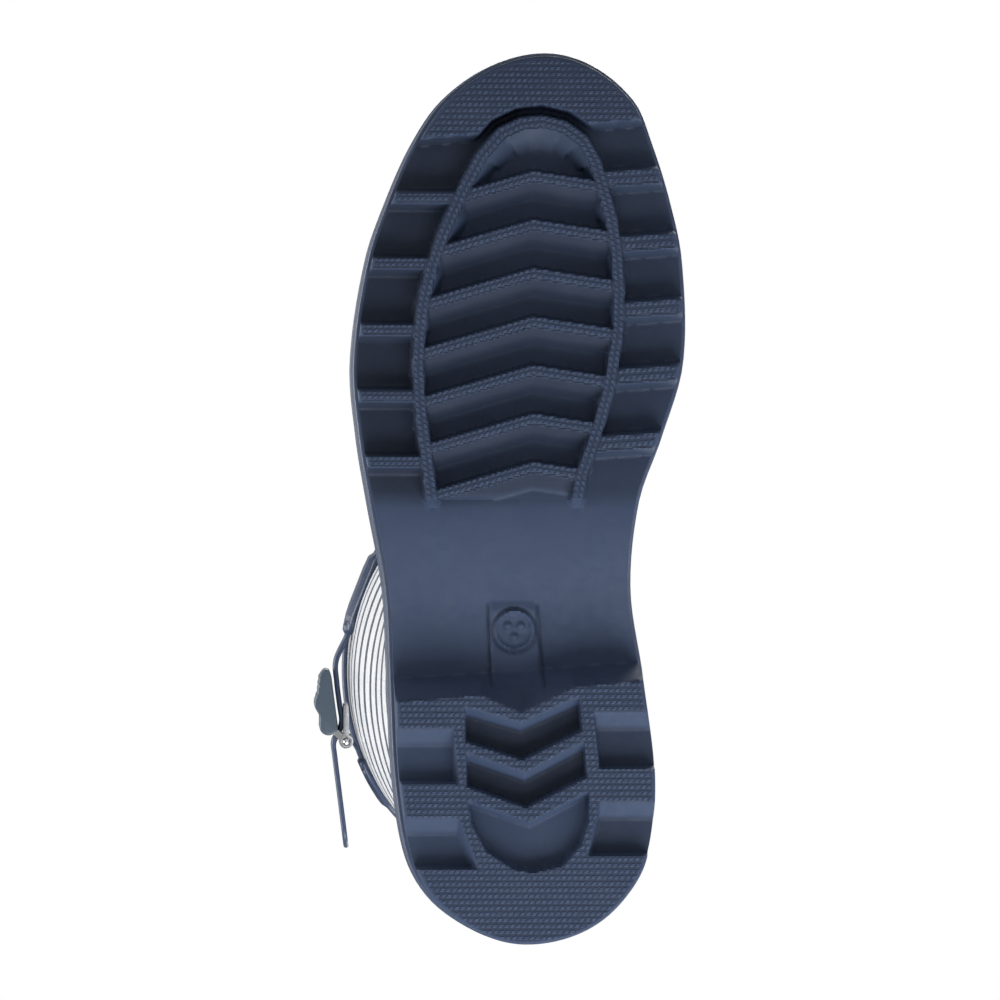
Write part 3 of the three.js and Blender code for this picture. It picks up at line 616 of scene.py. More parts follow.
def steelMaterial(look):
    material, tree, shader = newMaterial(look["name"], look["rough"][1], metallic=1.0)
    grain = useGroup(tree, "grain", Size=look["grain"])
    edge = useGroup(tree, "edge", Amount=look["wear"])
    colour = mixColours(tree, grain.outputs["Mottle"], look["bright"], look["dull"])
    colour = mixColours(tree, edge.outputs["Mask"], colour, look["worn"])
    wire(tree, colour, shader.inputs["Base Color"])
    roughnessInto(tree, shader, grain.outputs["Mottle"], *look["rough"])
    bumpInto(tree, shader, grain.outputs["Height"], look["bump"])
    return material


steelLook = {
    "name": "brightSteel", "bright": (0.8, 0.81, 0.83), "dull": (0.7, 0.71, 0.73), "worn": (0.9, 0.9, 0.92),
    "rough": (0.12, 0.22), "grain": 0.35, "wear": 0.6, "bump": 0.006,
}


materials = {
    "sole": rubberMaterial(soleLook),
    "trim": rubberMaterial(trimLook),
    "slate": rubberMaterial(slateLook),
    "foam": rubberMaterial(foamLook),
    "board": rubberMaterial(boardLook),
    "shaft": shaftMaterial(shaftLook),
    "lining": clothMaterial(liningLook),
    "footbed": clothMaterial(footbedLook),
    "steel": steelMaterial(steelLook),
}
print("materials made:", len(materials))


def finishPiece(obj, material, nodes, body="boot"):
    obj.data.materials.clear()
    obj.data.materials.append(materials[material])
    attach(obj, body)
    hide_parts(*nodes)
    return obj


def dressNode(name, material):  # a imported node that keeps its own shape
    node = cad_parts[name]
    node.data.materials.clear()
    node.data.materials.append(materials[material])


# Outsole: a height field of lugs, with walls and a top, closed as one body
sole = {
    "columns": 184, "walls": 4, "topColumns": 5, "rounding": 1.1, "treadDepth": 6.5, "waistLift": 16,
    "waistFrom": -130, "waistTo": -73, "recessDepth": 5.5, "recessBorder": 0.7, "spring": 2.6,
    "springFrom": -243,
    "rows": [(toeTip, -130, 0.6), (-130, -101, 1.7), (-101, -60, 0.62), (-60, form["heelBack"], 0.6)],
    "tipRows": 24, "toeRun": 6, "heelRun": 5,
}
treadEnd = -128
toePadLine = (-32, -246.9), (39.8, -253.4)  # two points of the toe pad's rear edge
breastTop = (-40, -72.5), (39.5, -78)  # two points of the heel breast's upper edge
breastFoot = [-52, -12.3, 0.3, 17.2, 52], [-65, -67.9, -62.1, -70.5, -73.6]  # its foot's x, then y
treadRail = {"half": 1.8, "channel": 3.0, "slope": 0.9, "crescentSlope": 8.5}
treadBars = {
    "half": 1.8, "slope": 5.8, "first": -236.2, "pitch": 15.7, "count": 7, "apex": 4.2, "lean": (0.29, 0.15),
}
treadRibs = {  # pairs are lateral and medial
    "half": (1.65, 2.4), "first": (-229.4, -236.0), "pitch": 21.4, "count": 5, "slant": 0.07, "slantFrom": 35,
}
waistPanel = {  # in its run towards the heel, each edge moves 1 mm towards the medial side
    "left": -9.7, "right": 5.8, "leftRun": 21, "rightRun": 10.5, "runFrom": -95, "start": -98, "end": -70,
    "edge": 0.8, "raised": 1.1, "crease": 0.5,
}
ringMark = {
    "x": -1.3, "y": -88.6, "radius": 6.1, "half": 0.91, "edge": 0.7, "dots": 3, "dotsAt": 2.4, "dot": 1.5,
    "creaseAt": 7.3,
}
pocketPaintedShade = {  # painted shade: how dark each kind of hollow is painted, in place of the shade falling into it
    "lateral": 1.0, "medial": 0.55, "barFloor": 0.38, "barSlope": 0.9, "crease": 0.7,
}
railPath = np.array([
    [-28.5, 143.5], [-30.8, 126], [-32.4, 113], [-33, 101.5], [-32.6, 89], [-31.3, 79.5], [-28.5, 68],
    [-24.8, 57.5], [-18.8, 44], [-12.5, 32.5], [-6, 25], [0.5, 21.9], [7, 21.2], [14.2, 22.9], [20.5, 27.4],
    [24.6, 34.6], [27.4, 44.5], [29.6, 52.5], [31.2, 62], [32.1, 76], [31.8, 89], [30.4, 98.3], [28.7, 108],
    [25.6, 119.5], [22.9, 127.5], [20.2, 135], [18.6, 143.5],
]) + [0, toeTip]
heelRecesses = [  # how far the toe-side wall leans, how dark its floor is painted (painted shade), then the corners
    (5.5, 0.2, [(-70, -56.9), (-21.7, -56.9), (-20, -39.8), (-70, -39.8)]),
    (5.5, 0.25, [(-70, -28.1), (-20, -28.1), (-13.6, -11.9), (-70, -11.9)]),
    (5.5, 0.6, [(24, -62.1), (70, -62.1), (70, -44.3), (25.9, -44.3)]),
    (5.5, 0.6, [(25.9, -33), (70, -33), (70, -16.1), (22, -16.1)]),
    (3.2, 1, [(-17.8, -64.1), (0.3, -58.9), (19.1, -67.3), (20.1, -56.6), (0.6, -47.2), (-17.5, -53)]),
    (3.2, 1, [(-17.2, -49.2), (1.6, -42.7), (20.7, -52.7), (21.8, -41.7), (1.9, -31.7), (-17.2, -38.5)]),
    (1.4, 0.1, [(-16.5, -33.3), (-15.5, -26.5), (-10.7, -17.5), (-1.9, -11.8), (4.2, -10.7),
                (13.6, -12.9), (19.7, -19.7), (22.2, -27.8), (22.2, -36.5), (3.2, -26.5)]),
]


def nearestOnPath(x, y, path, closed=False):  # distance, y of the direction away, distance run, and side
    ends = np.roll(path, -1, 0) if closed else path[1:]
    starts = path if closed else path[:-1]
    best = np.full(x.shape, 1e9)
    awayY, run, side = np.zeros(x.shape), np.zeros(x.shape), np.zeros(x.shape)
    before = 0.0
    for (ax, ay), (bx, by) in zip(starts, ends):
        dx, dy = bx - ax, by - ay
        length = math.hypot(dx, dy)
        t = clamp01(((x - ax) * dx + (y - ay) * dy) / length**2)
        px, py = x - ax - t * dx, y - ay - t * dy
        d = np.hypot(px, py)
        nearer = d < best
        best = np.where(nearer, d, best)
        awayY = np.where(nearer, py / np.maximum(d, 1e-6), awayY)
        run = np.where(nearer, before + t * length, run)
        side = np.where(nearer, np.sign(dx * py - dy * px), side)
        before += length
    return best, awayY, run, side


def insidePath(x, y, path):
    within = np.zeros(x.shape, bool)
    for (ax, ay), (bx, by) in zip(path, np.roll(path, -1, 0)):
        crosses = (ay > y) != (by > y)
        within ^= crosses & (x < ax + (y - ay) / (by - ay if by != ay else 1) * (bx - ax))
    return within


def insideShape(x, y, corners):  # 1 inside a polygon, 0 outside, with a soft border
    path = np.array(corners, float)
    d = nearestOnPath(x, y, path, closed=True)[0]
    return clamp01(np.where(insidePath(x, y, path), d, -d) / sole["recessBorder"] + 0.5)


def recessOf(x, y, corners, slope):  # depth share of a recess, its toe-side wall leaning
    inside = insideShape(x, y, corners)
    lean = np.mean([insideShape(x, y - s, corners) for s in np.linspace(0, slope, 9)], axis=0)
    return inside * lean


def soleBorder(count):  # points all round the sole's outline
    fold, side = foldAngle(np.linspace(0, 2 * np.pi, count, endpoint=False))
    return np.stack([outlineX(fold, side), lerp(toeTip, form["heelBack"], (1 - np.cos(fold)) / 2)], -1)


def lineAt(x, start, end):  # the y of a straight line at x
    return start[1] + (x - start[0]) / (end[0] - start[0]) * (end[1] - start[1])


def pointGrid(x, y, z):
    return np.stack(np.broadcast_arrays(x, y, z), -1)


def solePlan():  # where the height field's points stand, closest together at the tips
    near = np.linspace(0, 1, sole["tipRows"]) ** 2
    toe, heel = sole["toeRun"], sole["heelRun"]
    y = np.concatenate([np.arange(*run) for run in sole["rows"]])
    y = np.concatenate([toeTip + 0.02 + near * toe, y[(y > toeTip + toe) & (y < form["heelBack"] - heel)],
                        form["heelBack"] - 0.02 - near[::-1] * heel])
    share = (y - toeTip) / form["soleLength"]
    theta = np.arccos(1 - 2 * share)
    left, right = outlineX(theta, -1)[:, None], outlineX(theta, 1)[:, None]
    across = (1 - np.cos(np.linspace(0, np.pi, sole["columns"]))) / 2
    across = lerp(np.linspace(0, 1, sole["columns"]), across, 0.25)
    x = lerp(left, right, across)
    return x, np.broadcast_to(y[:, None], x.shape), left, right, share[:, None]


def foreTread(x, y):  # the forefoot's lugs: height share, painted shade of the pockets, and places for the dashes
    toRail, heelward, railRun, railSide = nearestOnPath(x, y, railPath)
    within = insidePath(x, y, railPath)
    slope = treadRail["slope"]
    slope = np.where(within, lerp(slope, treadRail["crescentSlope"], clamp01(heelward)), slope)
    rail = clamp01(1 - (toRail - treadRail["half"]) / slope)
    rail *= clamp01((treadEnd - 0.5 - y) / 3)

    toePad = clamp01((lineAt(x, *toePadLine) - y) / 2 + 0.5)
    clear = clamp01((toRail - treadRail["half"] - treadRail["channel"]) / 0.9 + 0.5)
    toePad *= np.where(within, 0.0, clear)

    markU, markV = x, y * 0.92
    bars = np.zeros(x.shape)
    barHalf, apex = treadBars["half"], treadBars["apex"]
    lean = np.where(x < apex, (apex - x) * treadBars["lean"][0], (x - apex) * treadBars["lean"][1])
    for k in range(treadBars["count"]):
        c = y - (treadBars["first"] + treadBars["pitch"] * k + lean)
        bar = clamp01((c + barHalf) / 0.9 + 0.5) * clamp01(1 - (c - barHalf) / treadBars["slope"])
        bars = np.maximum(bars, bar)
        markV = np.where(within & (np.abs(c) < barHalf + 0.3), c + barHalf, markV)
    bars *= within

    ribs = np.zeros(x.shape)
    half = np.where(x < 0, *treadRibs["half"])
    lateral, medial = treadRibs["first"]
    first = np.where(x < 0, lateral, medial - treadRibs["slant"] * (x - treadRibs["slantFrom"]))
    for k in range(treadRibs["count"]):
        c = y - (treadRibs["pitch"] * k + first)
        ribs = np.maximum(ribs, ease((c + half) / 1.8 + 0.6) * ease(1.1 - (c - half) / 2.8))
        markV = np.where(~within & (np.abs(c) < half + 0.3), (c + half) / half * barHalf, markV)
    ribs = np.where(within, 0, ribs)

    onRail = (toRail < treadRail["half"] + 0.3) & (y < treadEnd)
    markU = np.where(onRail, railRun, markU)
    markV = np.where(onRail, railSide * toRail + treadRail["half"], markV)
    fore = np.maximum.reduce([rail, toePad, bars, ribs]) * clamp01((treadEnd + 0.5 - y) / 2)
    # painted shade: pocket floors are darkened, and the lit slopes among the bars are toned down
    barShadeTone = lerp(pocketPaintedShade["barFloor"], pocketPaintedShade["barSlope"], clamp01(bars / 0.3))
    tone = np.where(within, barShadeTone, np.where(x < 0, pocketPaintedShade["lateral"], pocketPaintedShade["medial"]))
    return fore, tone, markU, markV


def waistFloor(x, y):  # height under the arch with its panel and ring mark, and the creases round them
    along = (y - sole["waistFrom"]) / (sole["waistTo"] - sole["waistFrom"])
    floor = lerp(sole["treadDepth"], sole["waistLift"], ease(along))
    run, edge = y - waistPanel["runFrom"], waistPanel["edge"]
    left = waistPanel["left"] + run / waistPanel["leftRun"]
    right = waistPanel["right"] + run / waistPanel["rightRun"]
    panel = clamp01((x - left) / edge) * clamp01((right - x) / edge) * clamp01((y - waistPanel["start"]) / 3)
    x0, y0 = x - ringMark["x"], y - ringMark["y"]
    out = np.hypot(x0, y0)
    mark = clamp01((ringMark["half"] - np.abs(out - ringMark["radius"])) / ringMark["edge"])
    for k in range(ringMark["dots"]):
        turn = math.radians(90 + 360 / ringMark["dots"] * k)
        dot = np.hypot(x0 - ringMark["dotsAt"] * math.cos(turn), y0 - ringMark["dotsAt"] * math.sin(turn))
        mark = np.maximum(mark, clamp01((ringMark["dot"] - dot) / ringMark["edge"]))
    crease = clamp01(1 - np.abs(out - ringMark["creaseAt"]) / edge)
    for side in (left - 0.3, right + 0.3):
        crease = np.maximum(crease, clamp01(1 - np.abs(x - side) / edge) * clamp01(y - waistPanel["start"]))
    crease *= y < waistPanel["end"]
    raised = waistPanel["raised"]
    return floor - raised * panel - raised * mark + waistPanel["crease"] * crease, crease


def heelPockets(x, y):  # depth share and painted shade of the heel's recesses
    recess, tone = np.zeros(x.shape), np.zeros(x.shape)
    for slope, dark, corners in heelRecesses:
        cut = recessOf(x, y, corners, slope)
        recess = np.maximum(recess, cut)
        tone = np.maximum(tone, dark * clamp01((cut - 0.72) / 0.2))
    return recess, tone


def soleBottom(x, y):  # height, lug tops, painted shade of the pockets and creases, and places for the dashes
    fore, foreShadeTone, markU, markV = foreTread(x, y)
    waist, crease = waistFloor(x, y)
    recess, heelShadeTone = heelPockets(x, y)
    topEdge = lineAt(x, *breastTop)
    breast = clamp01((y - topEdge) / (np.interp(x, *breastFoot) - topEdge))
    z = waist * (1 - fore) * (1 - breast) + sole["recessDepth"] * recess * (breast >= 1)

    d = nearestOnPath(x, y, soleBorder(360), closed=True)[0]
    gap = np.maximum(sole["rounding"] - d, 0)
    lip = sole["rounding"] - np.sqrt(sole["rounding"] ** 2 - gap**2)
    z = z + lip * clamp01(1 - z / 3)
    z = z + sole["spring"] * clamp01((sole["springFrom"] - y) / (sole["springFrom"] - toeTip)) ** 2

    inFore = clamp01((treadEnd - y) / 6)
    heelTop = clamp01((0.04 - recess) / 0.03) * (breast > 0.98)
    top = np.maximum(clamp01((fore - 0.93) / 0.05) * inFore, heelTop) * clamp01((d - 0.9) / 0.6)
    # painted shade: pocket floors, recess floors and creases are darkened in colour, standing in for the
    # shade in them
    foreShadeMask = clamp01((0.97 - fore) / 0.1) * inFore * foreShadeTone
    paintedShade = np.maximum(foreShadeMask, np.maximum(heelShadeTone, pocketPaintedShade["crease"] * crease))
    return z, top, paintedShade, markU, markV


def makeOutsole():
    x, y, left, right, share = solePlan()
    z, top, paintedShade, markU, markV = soleBottom(x, y)
    ceiling = soleTop(share)
    rise = np.linspace(0, 1, sole["walls"] + 2)[1:-1]
    medialWall = pointGrid(right, y[:, :1], lerp(z[:, -1:], ceiling, rise))
    lateralWall = pointGrid(left, y[:, :1], lerp(z[:, :1], ceiling, rise[::-1]))
    lid = pointGrid(lerp(left, right, np.linspace(1, 0, sole["topColumns"])), y[:, :1], ceiling)
    sections = np.concatenate([pointGrid(x, y, z), medialWall, lid, lateralWall], 1)
    obj = tubeObject("outsoleTread", sections, smoothAngle=55)
    spare = np.zeros((len(y), sections.shape[1] - x.shape[1]))
    # the painted shade of the pockets and creases goes to the material as an attribute
    for name, values in (("lugTop", top), ("paintedShadeMask", paintedShade), ("treadU", markU), ("treadV", markV)):
        storeFloat(obj, name, np.concatenate([values, spare], 1))
    return obj


outsolePiece = finishPiece(makeOutsole(), "sole", ["outsole"])
print("outsole made:", len(outsolePiece.data.polygons), "faces")


# Pieces that follow the skin
def skinBetween(low, high, rows, out):  # [around][rows] points between two heights, spaced as the skin is
    z = skin[:, :, 2]
    who = np.arange(len(skin))[:, None]
    ends = []
    for height in (low, high):
        height = np.broadcast_to(height, (len(skin),))
        j = np.clip((z < height[:, None]).sum(1) - 1, 0, z.shape[1] - 2)
        below, above = z[who[:, 0], j], z[who[:, 0], j + 1]
        ends.append(j + clamp01((height - below) / np.maximum(above - below, 1e-6)))
    levels = lerp(ends[0][:, None], ends[1][:, None], rows)
    j = np.clip(np.floor(levels).astype(int), 0, z.shape[1] - 2)
    t = (levels - j)[:, :, None]
    point = lerp(skin[who, j], skin[who, j + 1], t)
    normal = lerp(skinNormals[who, j], skinNormals[who, j + 1], t)
    normal /= np.linalg.norm(normal, axis=-1, keepdims=True)
    return point + normal * out


skinAngles = np.linspace(0, 2 * np.pi, len(skin), endpoint=False)
skinSoleTop = soleTop((1 - np.cos(foldAngle(skinAngles)[0])) / 2)


def skinLayer(name, piece):  # a closed wall from sole to rim, between two distances out from the skin
    rows = np.linspace(0, 1, piece["rows"])
    low, high = skinSoleTop + piece["start"], form["bootHeight"] - piece["endBelowRim"]
    outer, inner = (skinBetween(low, high, rows, out) for out in piece["outs"])
    sections = np.concatenate([outer, inner[:, ::-1]], 1)
    return tubeObject(name, sections, closed=True), sections


shaftPiece = {"rows": 96, "start": 0.6, "endBelowRim": 1.9, "outs": (0.0, -2.2)}


def makeShaft(piece):
    obj, sections = skinLayer("rubberShaft", piece)
    storeFloat(obj, "ringHeight", sections[:, :, 2])
    return obj


finishPiece(makeShaft(shaftPiece), "shaft", ["upper_shell"])
foxingPiece = {  # (height above the top of the sole, out from the skin)
    "profile": [
        (-7, -0.15), (-7, 0.8), (-6.8, 1.1), (-6.3, 1.25), (-3, 1.3), (1, 1.3), (6, 1.25), (9.2, 1.15),
        (10.1, 1.2), (10.6, 1.5), (11.4, 1.7), (12.3, 1.6), (12.9, 1.2), (13, 0.8), (13, -0.15), (8, -0.15),
        (0, -0.15),
    ],
}
bindingPiece = {  # (height from the rim, out from the skin)
    "profile": [
        (-9, 0.3), (-8.9, 1.2), (-8.5, 1.75), (-7.7, 1.95), (-5, 1.95), (-3, 1.8), (-1.6, 1.1), (-0.6, -0.2),
        (-0.1, -1.6), (0, -2.8), (-0.1, -4), (-0.6, -5.4), (-1.6, -6.7), (-3, -7.4), (-5, -7.55),
        (-7.7, -7.55), (-8.5, -7.35), (-8.9, -6.8), (-9, -5.9), (-4, -5.9), (-1.9, -5.7), (-1.6, -2.8),
        (-1.9, 0.1), (-4, 0.3),
    ],
}


def makeRing(name, piece, base):  # its profile carried all round the boot
    heights, outs = np.array(piece["profile"], float).T
    points = onSkin(skinAngles[:, None], base[:, None] + heights, outs)
    return tubeObject(name, points, closed=True, smoothAngle=50)


rimLevel = np.full(len(skin), form["bootHeight"])
finishPiece(makeRing("foxingBand", foxingPiece, skinSoleTop), "trim", ["foxing"])
finishPiece(makeRing("rimBinding", bindingPiece, rimLevel), "trim", ["top_binding"])
liningPiece = {"rows": 90, "start": 1.0, "endBelowRim": 2.1, "outs": (-4.8, -5.6), "girth": 380}


def makeLining(piece):
    obj, sections = skinLayer("knitLining", piece)
    run = piece["girth"] / len(skin) * np.arange(len(skin))
    storeFloat(obj, "clothU", np.broadcast_to(run[:, None], sections.shape[:2]))
    storeFloat(obj, "clothV", sections[:, :, 2])
    return obj


finishPiece(makeLining(liningPiece), "lining", ["lining"])


def leftOf(way):  # unit vectors to the left of the given ways, in plan
    way = way / np.linalg.norm(way, axis=1, keepdims=True)
    return np.stack([-way[:, 1], way[:, 0]], -1)


footbedPiece = {
    "inset": 6.9, "low": 2.6, "high": 7.0, "around": 128, "spineInset": (40, 34), "spineX": (4, 2),
    "edge": [(0.0, -1.6), (0.35, -0.7), (1.1, -0.2), (2.2, 0.0), (3.9, 0.0), (4.6, -0.5), (5.3, 0.0)],
    "dishAt": (8, 12, 17, 22, 27), "dishDepth": 0.9,
}


def makeFootbed(piece):  # loops that run inwards from the edge over a crown with a groove, to a shallow dish
    edge = soleBorder(piece["around"])
    edge = edge + leftOf(np.roll(edge, -1, 0) - np.roll(edge, 1, 0)) * piece["inset"]
    ends = toeTip + piece["spineInset"][0], form["heelBack"] - piece["spineInset"][1]
    spine = np.stack([np.interp(edge[:, 1], ends, piece["spineX"]), np.clip(edge[:, 1], *ends)], -1)
    reach = np.linalg.norm(edge - spine, axis=1)
    crown = [(0.0, piece["low"])]
    crown += [(inset, piece["high"] + lift) for inset, lift in piece["edge"]]
    for inset in piece["dishAt"]:
        crown.append((inset, piece["high"] - piece["dishDepth"] * ease((inset - 6) / 14)))
    sections = []
    for inset, lift in crown:
        plan = lerp(edge, spine, np.minimum(inset / reach, 0.97)[:, None])
        level = soleTop((plan[:, 1] - toeTip) / form["soleLength"]) + lift
        sections.append(np.concatenate([plan, level[:, None]], 1))
    obj = tubeObject("cushionFootbed", sections, smoothAngle=60)
    for name, axis in (("clothU", 0), ("clothV", 1)):
        storeFloat(obj, name, [v.co[axis] * 1000 for v in obj.data.vertices])
    return obj


footbedObject = finishPiece(makeFootbed(footbedPiece), "footbed", ["footbed"])
print("upper pieces made")
for nodeName, look in (("insole_board", "board"), ("toe_stiffener", "board"), ("heel_stiffener", "board"),
                       ("shank", "steel"), ("heel_filler", "foam"), ("forefoot_filler", "foam")):
    dressNode(nodeName, look)


# Strap, anchors and buckle. Their local frame: along towards the heel, out from the shaft, height.
def nodeCentre(name):
    low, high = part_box(name)
    return np.array((low + high) / 2) * 1000


barCentre = nodeCentre("hinge_bar")
pinCentre = nodeCentre("lever_pin")
buckle = {"barX": 12.5, "barOut": 3.4, "pinX": 6.0, "pinOut": 9.0}
offset = (barCentre - pinCentre)[:2]
flat = np.array([buckle["barX"] - buckle["pinX"], buckle["barOut"] - buckle["pinOut"]])
turn = math.atan2(offset[1], offset[0]) - math.atan2(flat[1], flat[0])
alongDir = np.array([math.cos(turn), math.sin(turn)])
outDir = np.array([-math.sin(turn), math.cos(turn)])
foot = barCentre[:2] - alongDir * buckle["barX"] - outDir * buckle["barOut"]


def atBuckle(along, out, height):  # from the buckle's own directions to the boot's
    along, out, height = np.broadcast_arrays(*(np.asarray(v, float) for v in (along, out, height)))
    plan = foot + along[..., None] * alongDir + out[..., None] * outDir
    return np.concatenate([plan, height[..., None]], -1)


def lateralAngle(y):  # the angle round the shaft at which its lateral side has this y
    return 2 * np.pi - np.arccos(1 - 2 * (np.asarray(y, float) - rimFront) / form["rimLength"])


def besideShaft(y, out):  # a place in plan beside the shaft's lateral side, at the strap
    return onSkin(lateralAngle(y), form["strapZ"], out)[:2]


def runAlong(line):  # distance run at each point of a line
    return np.concatenate([[0], np.cumsum(np.linalg.norm(np.diff(line, axis=0), axis=1))])


def smoothCurve(points, count):  # points at even steps along a smooth curve through the given ones
    points = np.asarray(points, float)
    ends = np.concatenate([[2 * points[0] - points[1]], points, [2 * points[-1] - points[-2]]])
    u = np.linspace(0, 1, 24, endpoint=False)[:, None]
    dense = [curveThrough(*ends[i:i + 4], u) for i in range(len(points) - 1)]
    dense = np.concatenate(dense + [points[-1:]])
    run = runAlong(dense)
    at = np.linspace(0, run[-1], count)
    return np.stack([np.interp(at, run, dense[:, k]) for k in range(dense.shape[1])], -1)


def bandAlong(name, line, out, height, smoothAngle):  # a band standing on a line in plan
    out, height = np.broadcast_arrays(out, height)
    plan = line[:, None, :] + leftOf(np.gradient(line, axis=0))[:, None, :] * out[:, :, None]
    return tubeObject(name, np.concatenate([plan, height[:, :, None]], -1), smoothAngle=smoothAngle)


strapPiece = {
    "halfWidth": 10.0, "thickness": 1.8, "steps": 220, "grooveDepth": 0.35, "grooveAt": 7.4, "tip": 8.0,
    "beside": [-112, -106, -100, -94, -88, -82], "besideOut": 1.5,
    "route": [(-17, 2.94), (-9, 3.8), (0, 3.9), (5.5, 3.95), (8.925, 5.5), (12.5, 7.9), (18, 8.2), (35, 8.4),
              (51.5, 8.6)],
}


def makeStrap(piece):  # grooved along both edges, its free end rounded and thinned
    start = [besideShaft(y, piece["besideOut"]) for y in piece["beside"]]
    rest = [atBuckle(a, o, 0)[:2] for a, o in piece["route"]]
    line = smoothCurve(start + rest, piece["steps"])
    w, t, g = piece["halfWidth"], piece["thickness"] / 2, piece["grooveDepth"]
    at = piece["grooveAt"]
    face = [(-w, 0), (-w + 0.12, t * 0.6), (-w + 0.5, t * 0.92), (-w + 1.0, t), (-at - 0.6, t),
            (-at - 0.15, t - g), (-at + 0.15, t - g), (-at + 0.6, t), (0, t)]
    half = face + [(-u, v) for u, v in face[-2::-1]]
    loop = np.array(half + [(u, -v) for u, v in half[-2:0:-1]])
    run = runAlong(line)
    left = (run[-1] - run)[:, None]
    narrow = np.sqrt(np.maximum(1 - clamp01((piece["tip"] - left) / piece["tip"]) ** 2.6, 0.0004))
    thin = np.sqrt(np.maximum(1 - clamp01(1.0 - left) ** 2, 0.02))
    return bandAlong("shaftStrap", line, loop[:, 1] * thin, form["strapZ"] + loop[:, 0] * narrow, 50)


finishPiece(makeStrap(strapPiece), "trim", ["strap"])
anchorPieces = [
    {"name": "frontAnchorPatch", "node": "front_anchor", "y": (-115.5, -82), "half": 15.0, "corner": 7.5,
     "base": 1.9, "over": 3.5, "overHalf": 10.6, "overFrom": -112.0, "overTo": -70.0},
    {"name": "rearAnchorPatch", "node": "rear_anchor", "y": (-37.2, -13.2), "half": 15.0, "corner": 8.5,
     "base": 1.9, "over": 3.0, "overHalf": 9.4, "overFrom": -60.0, "overTo": -19.0},
]
anchorEdge = {
    "around": 96, "cornerPower": 0.6, "overSide": 1.3, "overEnd": 3.5, "thickness": 1.9,
    "lips": [  # (in from the outline, out from the shaft)
        (0.0, 0.25), (0.0, 0.9), (0.12, 1.35), (0.45, 1.7), (0.95, 1.9), (1.7, 1.9), (2.2, 1.9), (2.5, 1.55),
        (2.9, 1.55), (3.2, 1.9), (4.4, 1.9), (6, 1.9), (8, 1.9), (10, 1.9),
    ],
}


def makeAnchor(piece, edge):  # rounded patch, raised in a channel where something lies under it
    y0, y1 = piece["y"]
    centre, halfRun = (y0 + y1) / 2, (y1 - y0) / 2
    turn = 2 * np.pi * (np.arange(edge["around"]) + 0.5) / edge["around"]
    way = np.stack([np.cos(turn), np.sin(turn)], -1)
    reach = np.abs(way) ** edge["cornerPower"]
    reach /= np.linalg.norm(reach, axis=1, keepdims=True)
    rows = []
    for inset, lift in edge["lips"]:
        a, b = piece["half"] - inset, halfRun - inset
        r = min(max(piece["corner"] - inset, 0.4), a - 0.2, b - 0.2)
        z, run = np.copysign(np.array([a - r, b - r]) + r * reach, way).T
        y = centre + run
        over = ease((piece["overHalf"] + edge["overSide"] - np.abs(z)) / edge["overSide"])
        over *= ease((y - piece["overFrom"]) / edge["overEnd"])
        over *= ease((piece["overTo"] - y) / edge["overEnd"])
        out = lift / edge["thickness"] * lerp(piece["base"], piece["over"], over)
        rows.append(onSkin(lateralAngle(y), form["strapZ"] + z, np.maximum(out, 0.2)))
    return tubeObject(piece["name"], rows, smoothAngle=45)


for anchorPiece in anchorPieces:
    finishPiece(makeAnchor(anchorPiece, anchorEdge), "trim", [anchorPiece["node"]])


def roundedStack(name, outline, low, high, edge, steps=5):  # an outline carried up, its edges rounded
    outline = np.asarray(outline, float)
    ahead = np.roll(outline, -1, 0)
    inward = leftOf(ahead - np.roll(outline, 1, 0)) * (1 if np.cross(outline, ahead).sum() > 0 else -1)
    turns = [math.pi / 2 * k / steps for k in range(steps + 1)]
    lowEdge = [(low + edge * (1 - math.cos(turn)), edge * (1 - math.sin(turn))) for turn in turns]
    middle = [(z, 0.0) for z in np.linspace(low + edge, high - edge, 13)[1:-1]]
    highEdge = [(low + high - z, inset) for z, inset in lowEdge[::-1]]
    rows = [atBuckle(*(outline + inward * inset).T, z) for z, inset in lowEdge + middle + highEdge]
    size = len(outline)
    last = (len(rows) - 1) * size
    faces = tubeFaces(len(rows), size, True)[:last]
    faces += [tuple(range(size)), tuple(range(last, last + size))]
    obj = makeObject(name, rows, faces)
    faceOutwards(obj)
    return obj


def arc(centre, radius, start, end, count):
    turns = np.radians(np.linspace(start, end, count))
    return np.stack([centre[0] + radius * np.cos(turns), centre[1] + radius * np.sin(turns)], -1)


leverPiece = {
    "halfHeight": 14.5, "edge": 0.9, "noseRadius": 3.4,
    "back": [(3.6, 12), (1.6, 11.9), (0, 12.5), (-1.9, 13.1), (-3.9, 12.7), (-6.4, 11.4), (-9.6, 10.6),
             (-12.6, 9.6), (-14.4, 7.6), (-13.9, 6), (-11.6, 5.5)],
    "under": [(-6, 5.55), (-1, 5.58), (buckle["pinX"], 5.6)],
    "slotFrom": 2.9, "slotNear": 10.9, "slotFar": 13.1,
    "ridges": 4, "ridgesFrom": -12.4, "ridgePitch": 2.1, "ridgeHeight": 0.22,
}


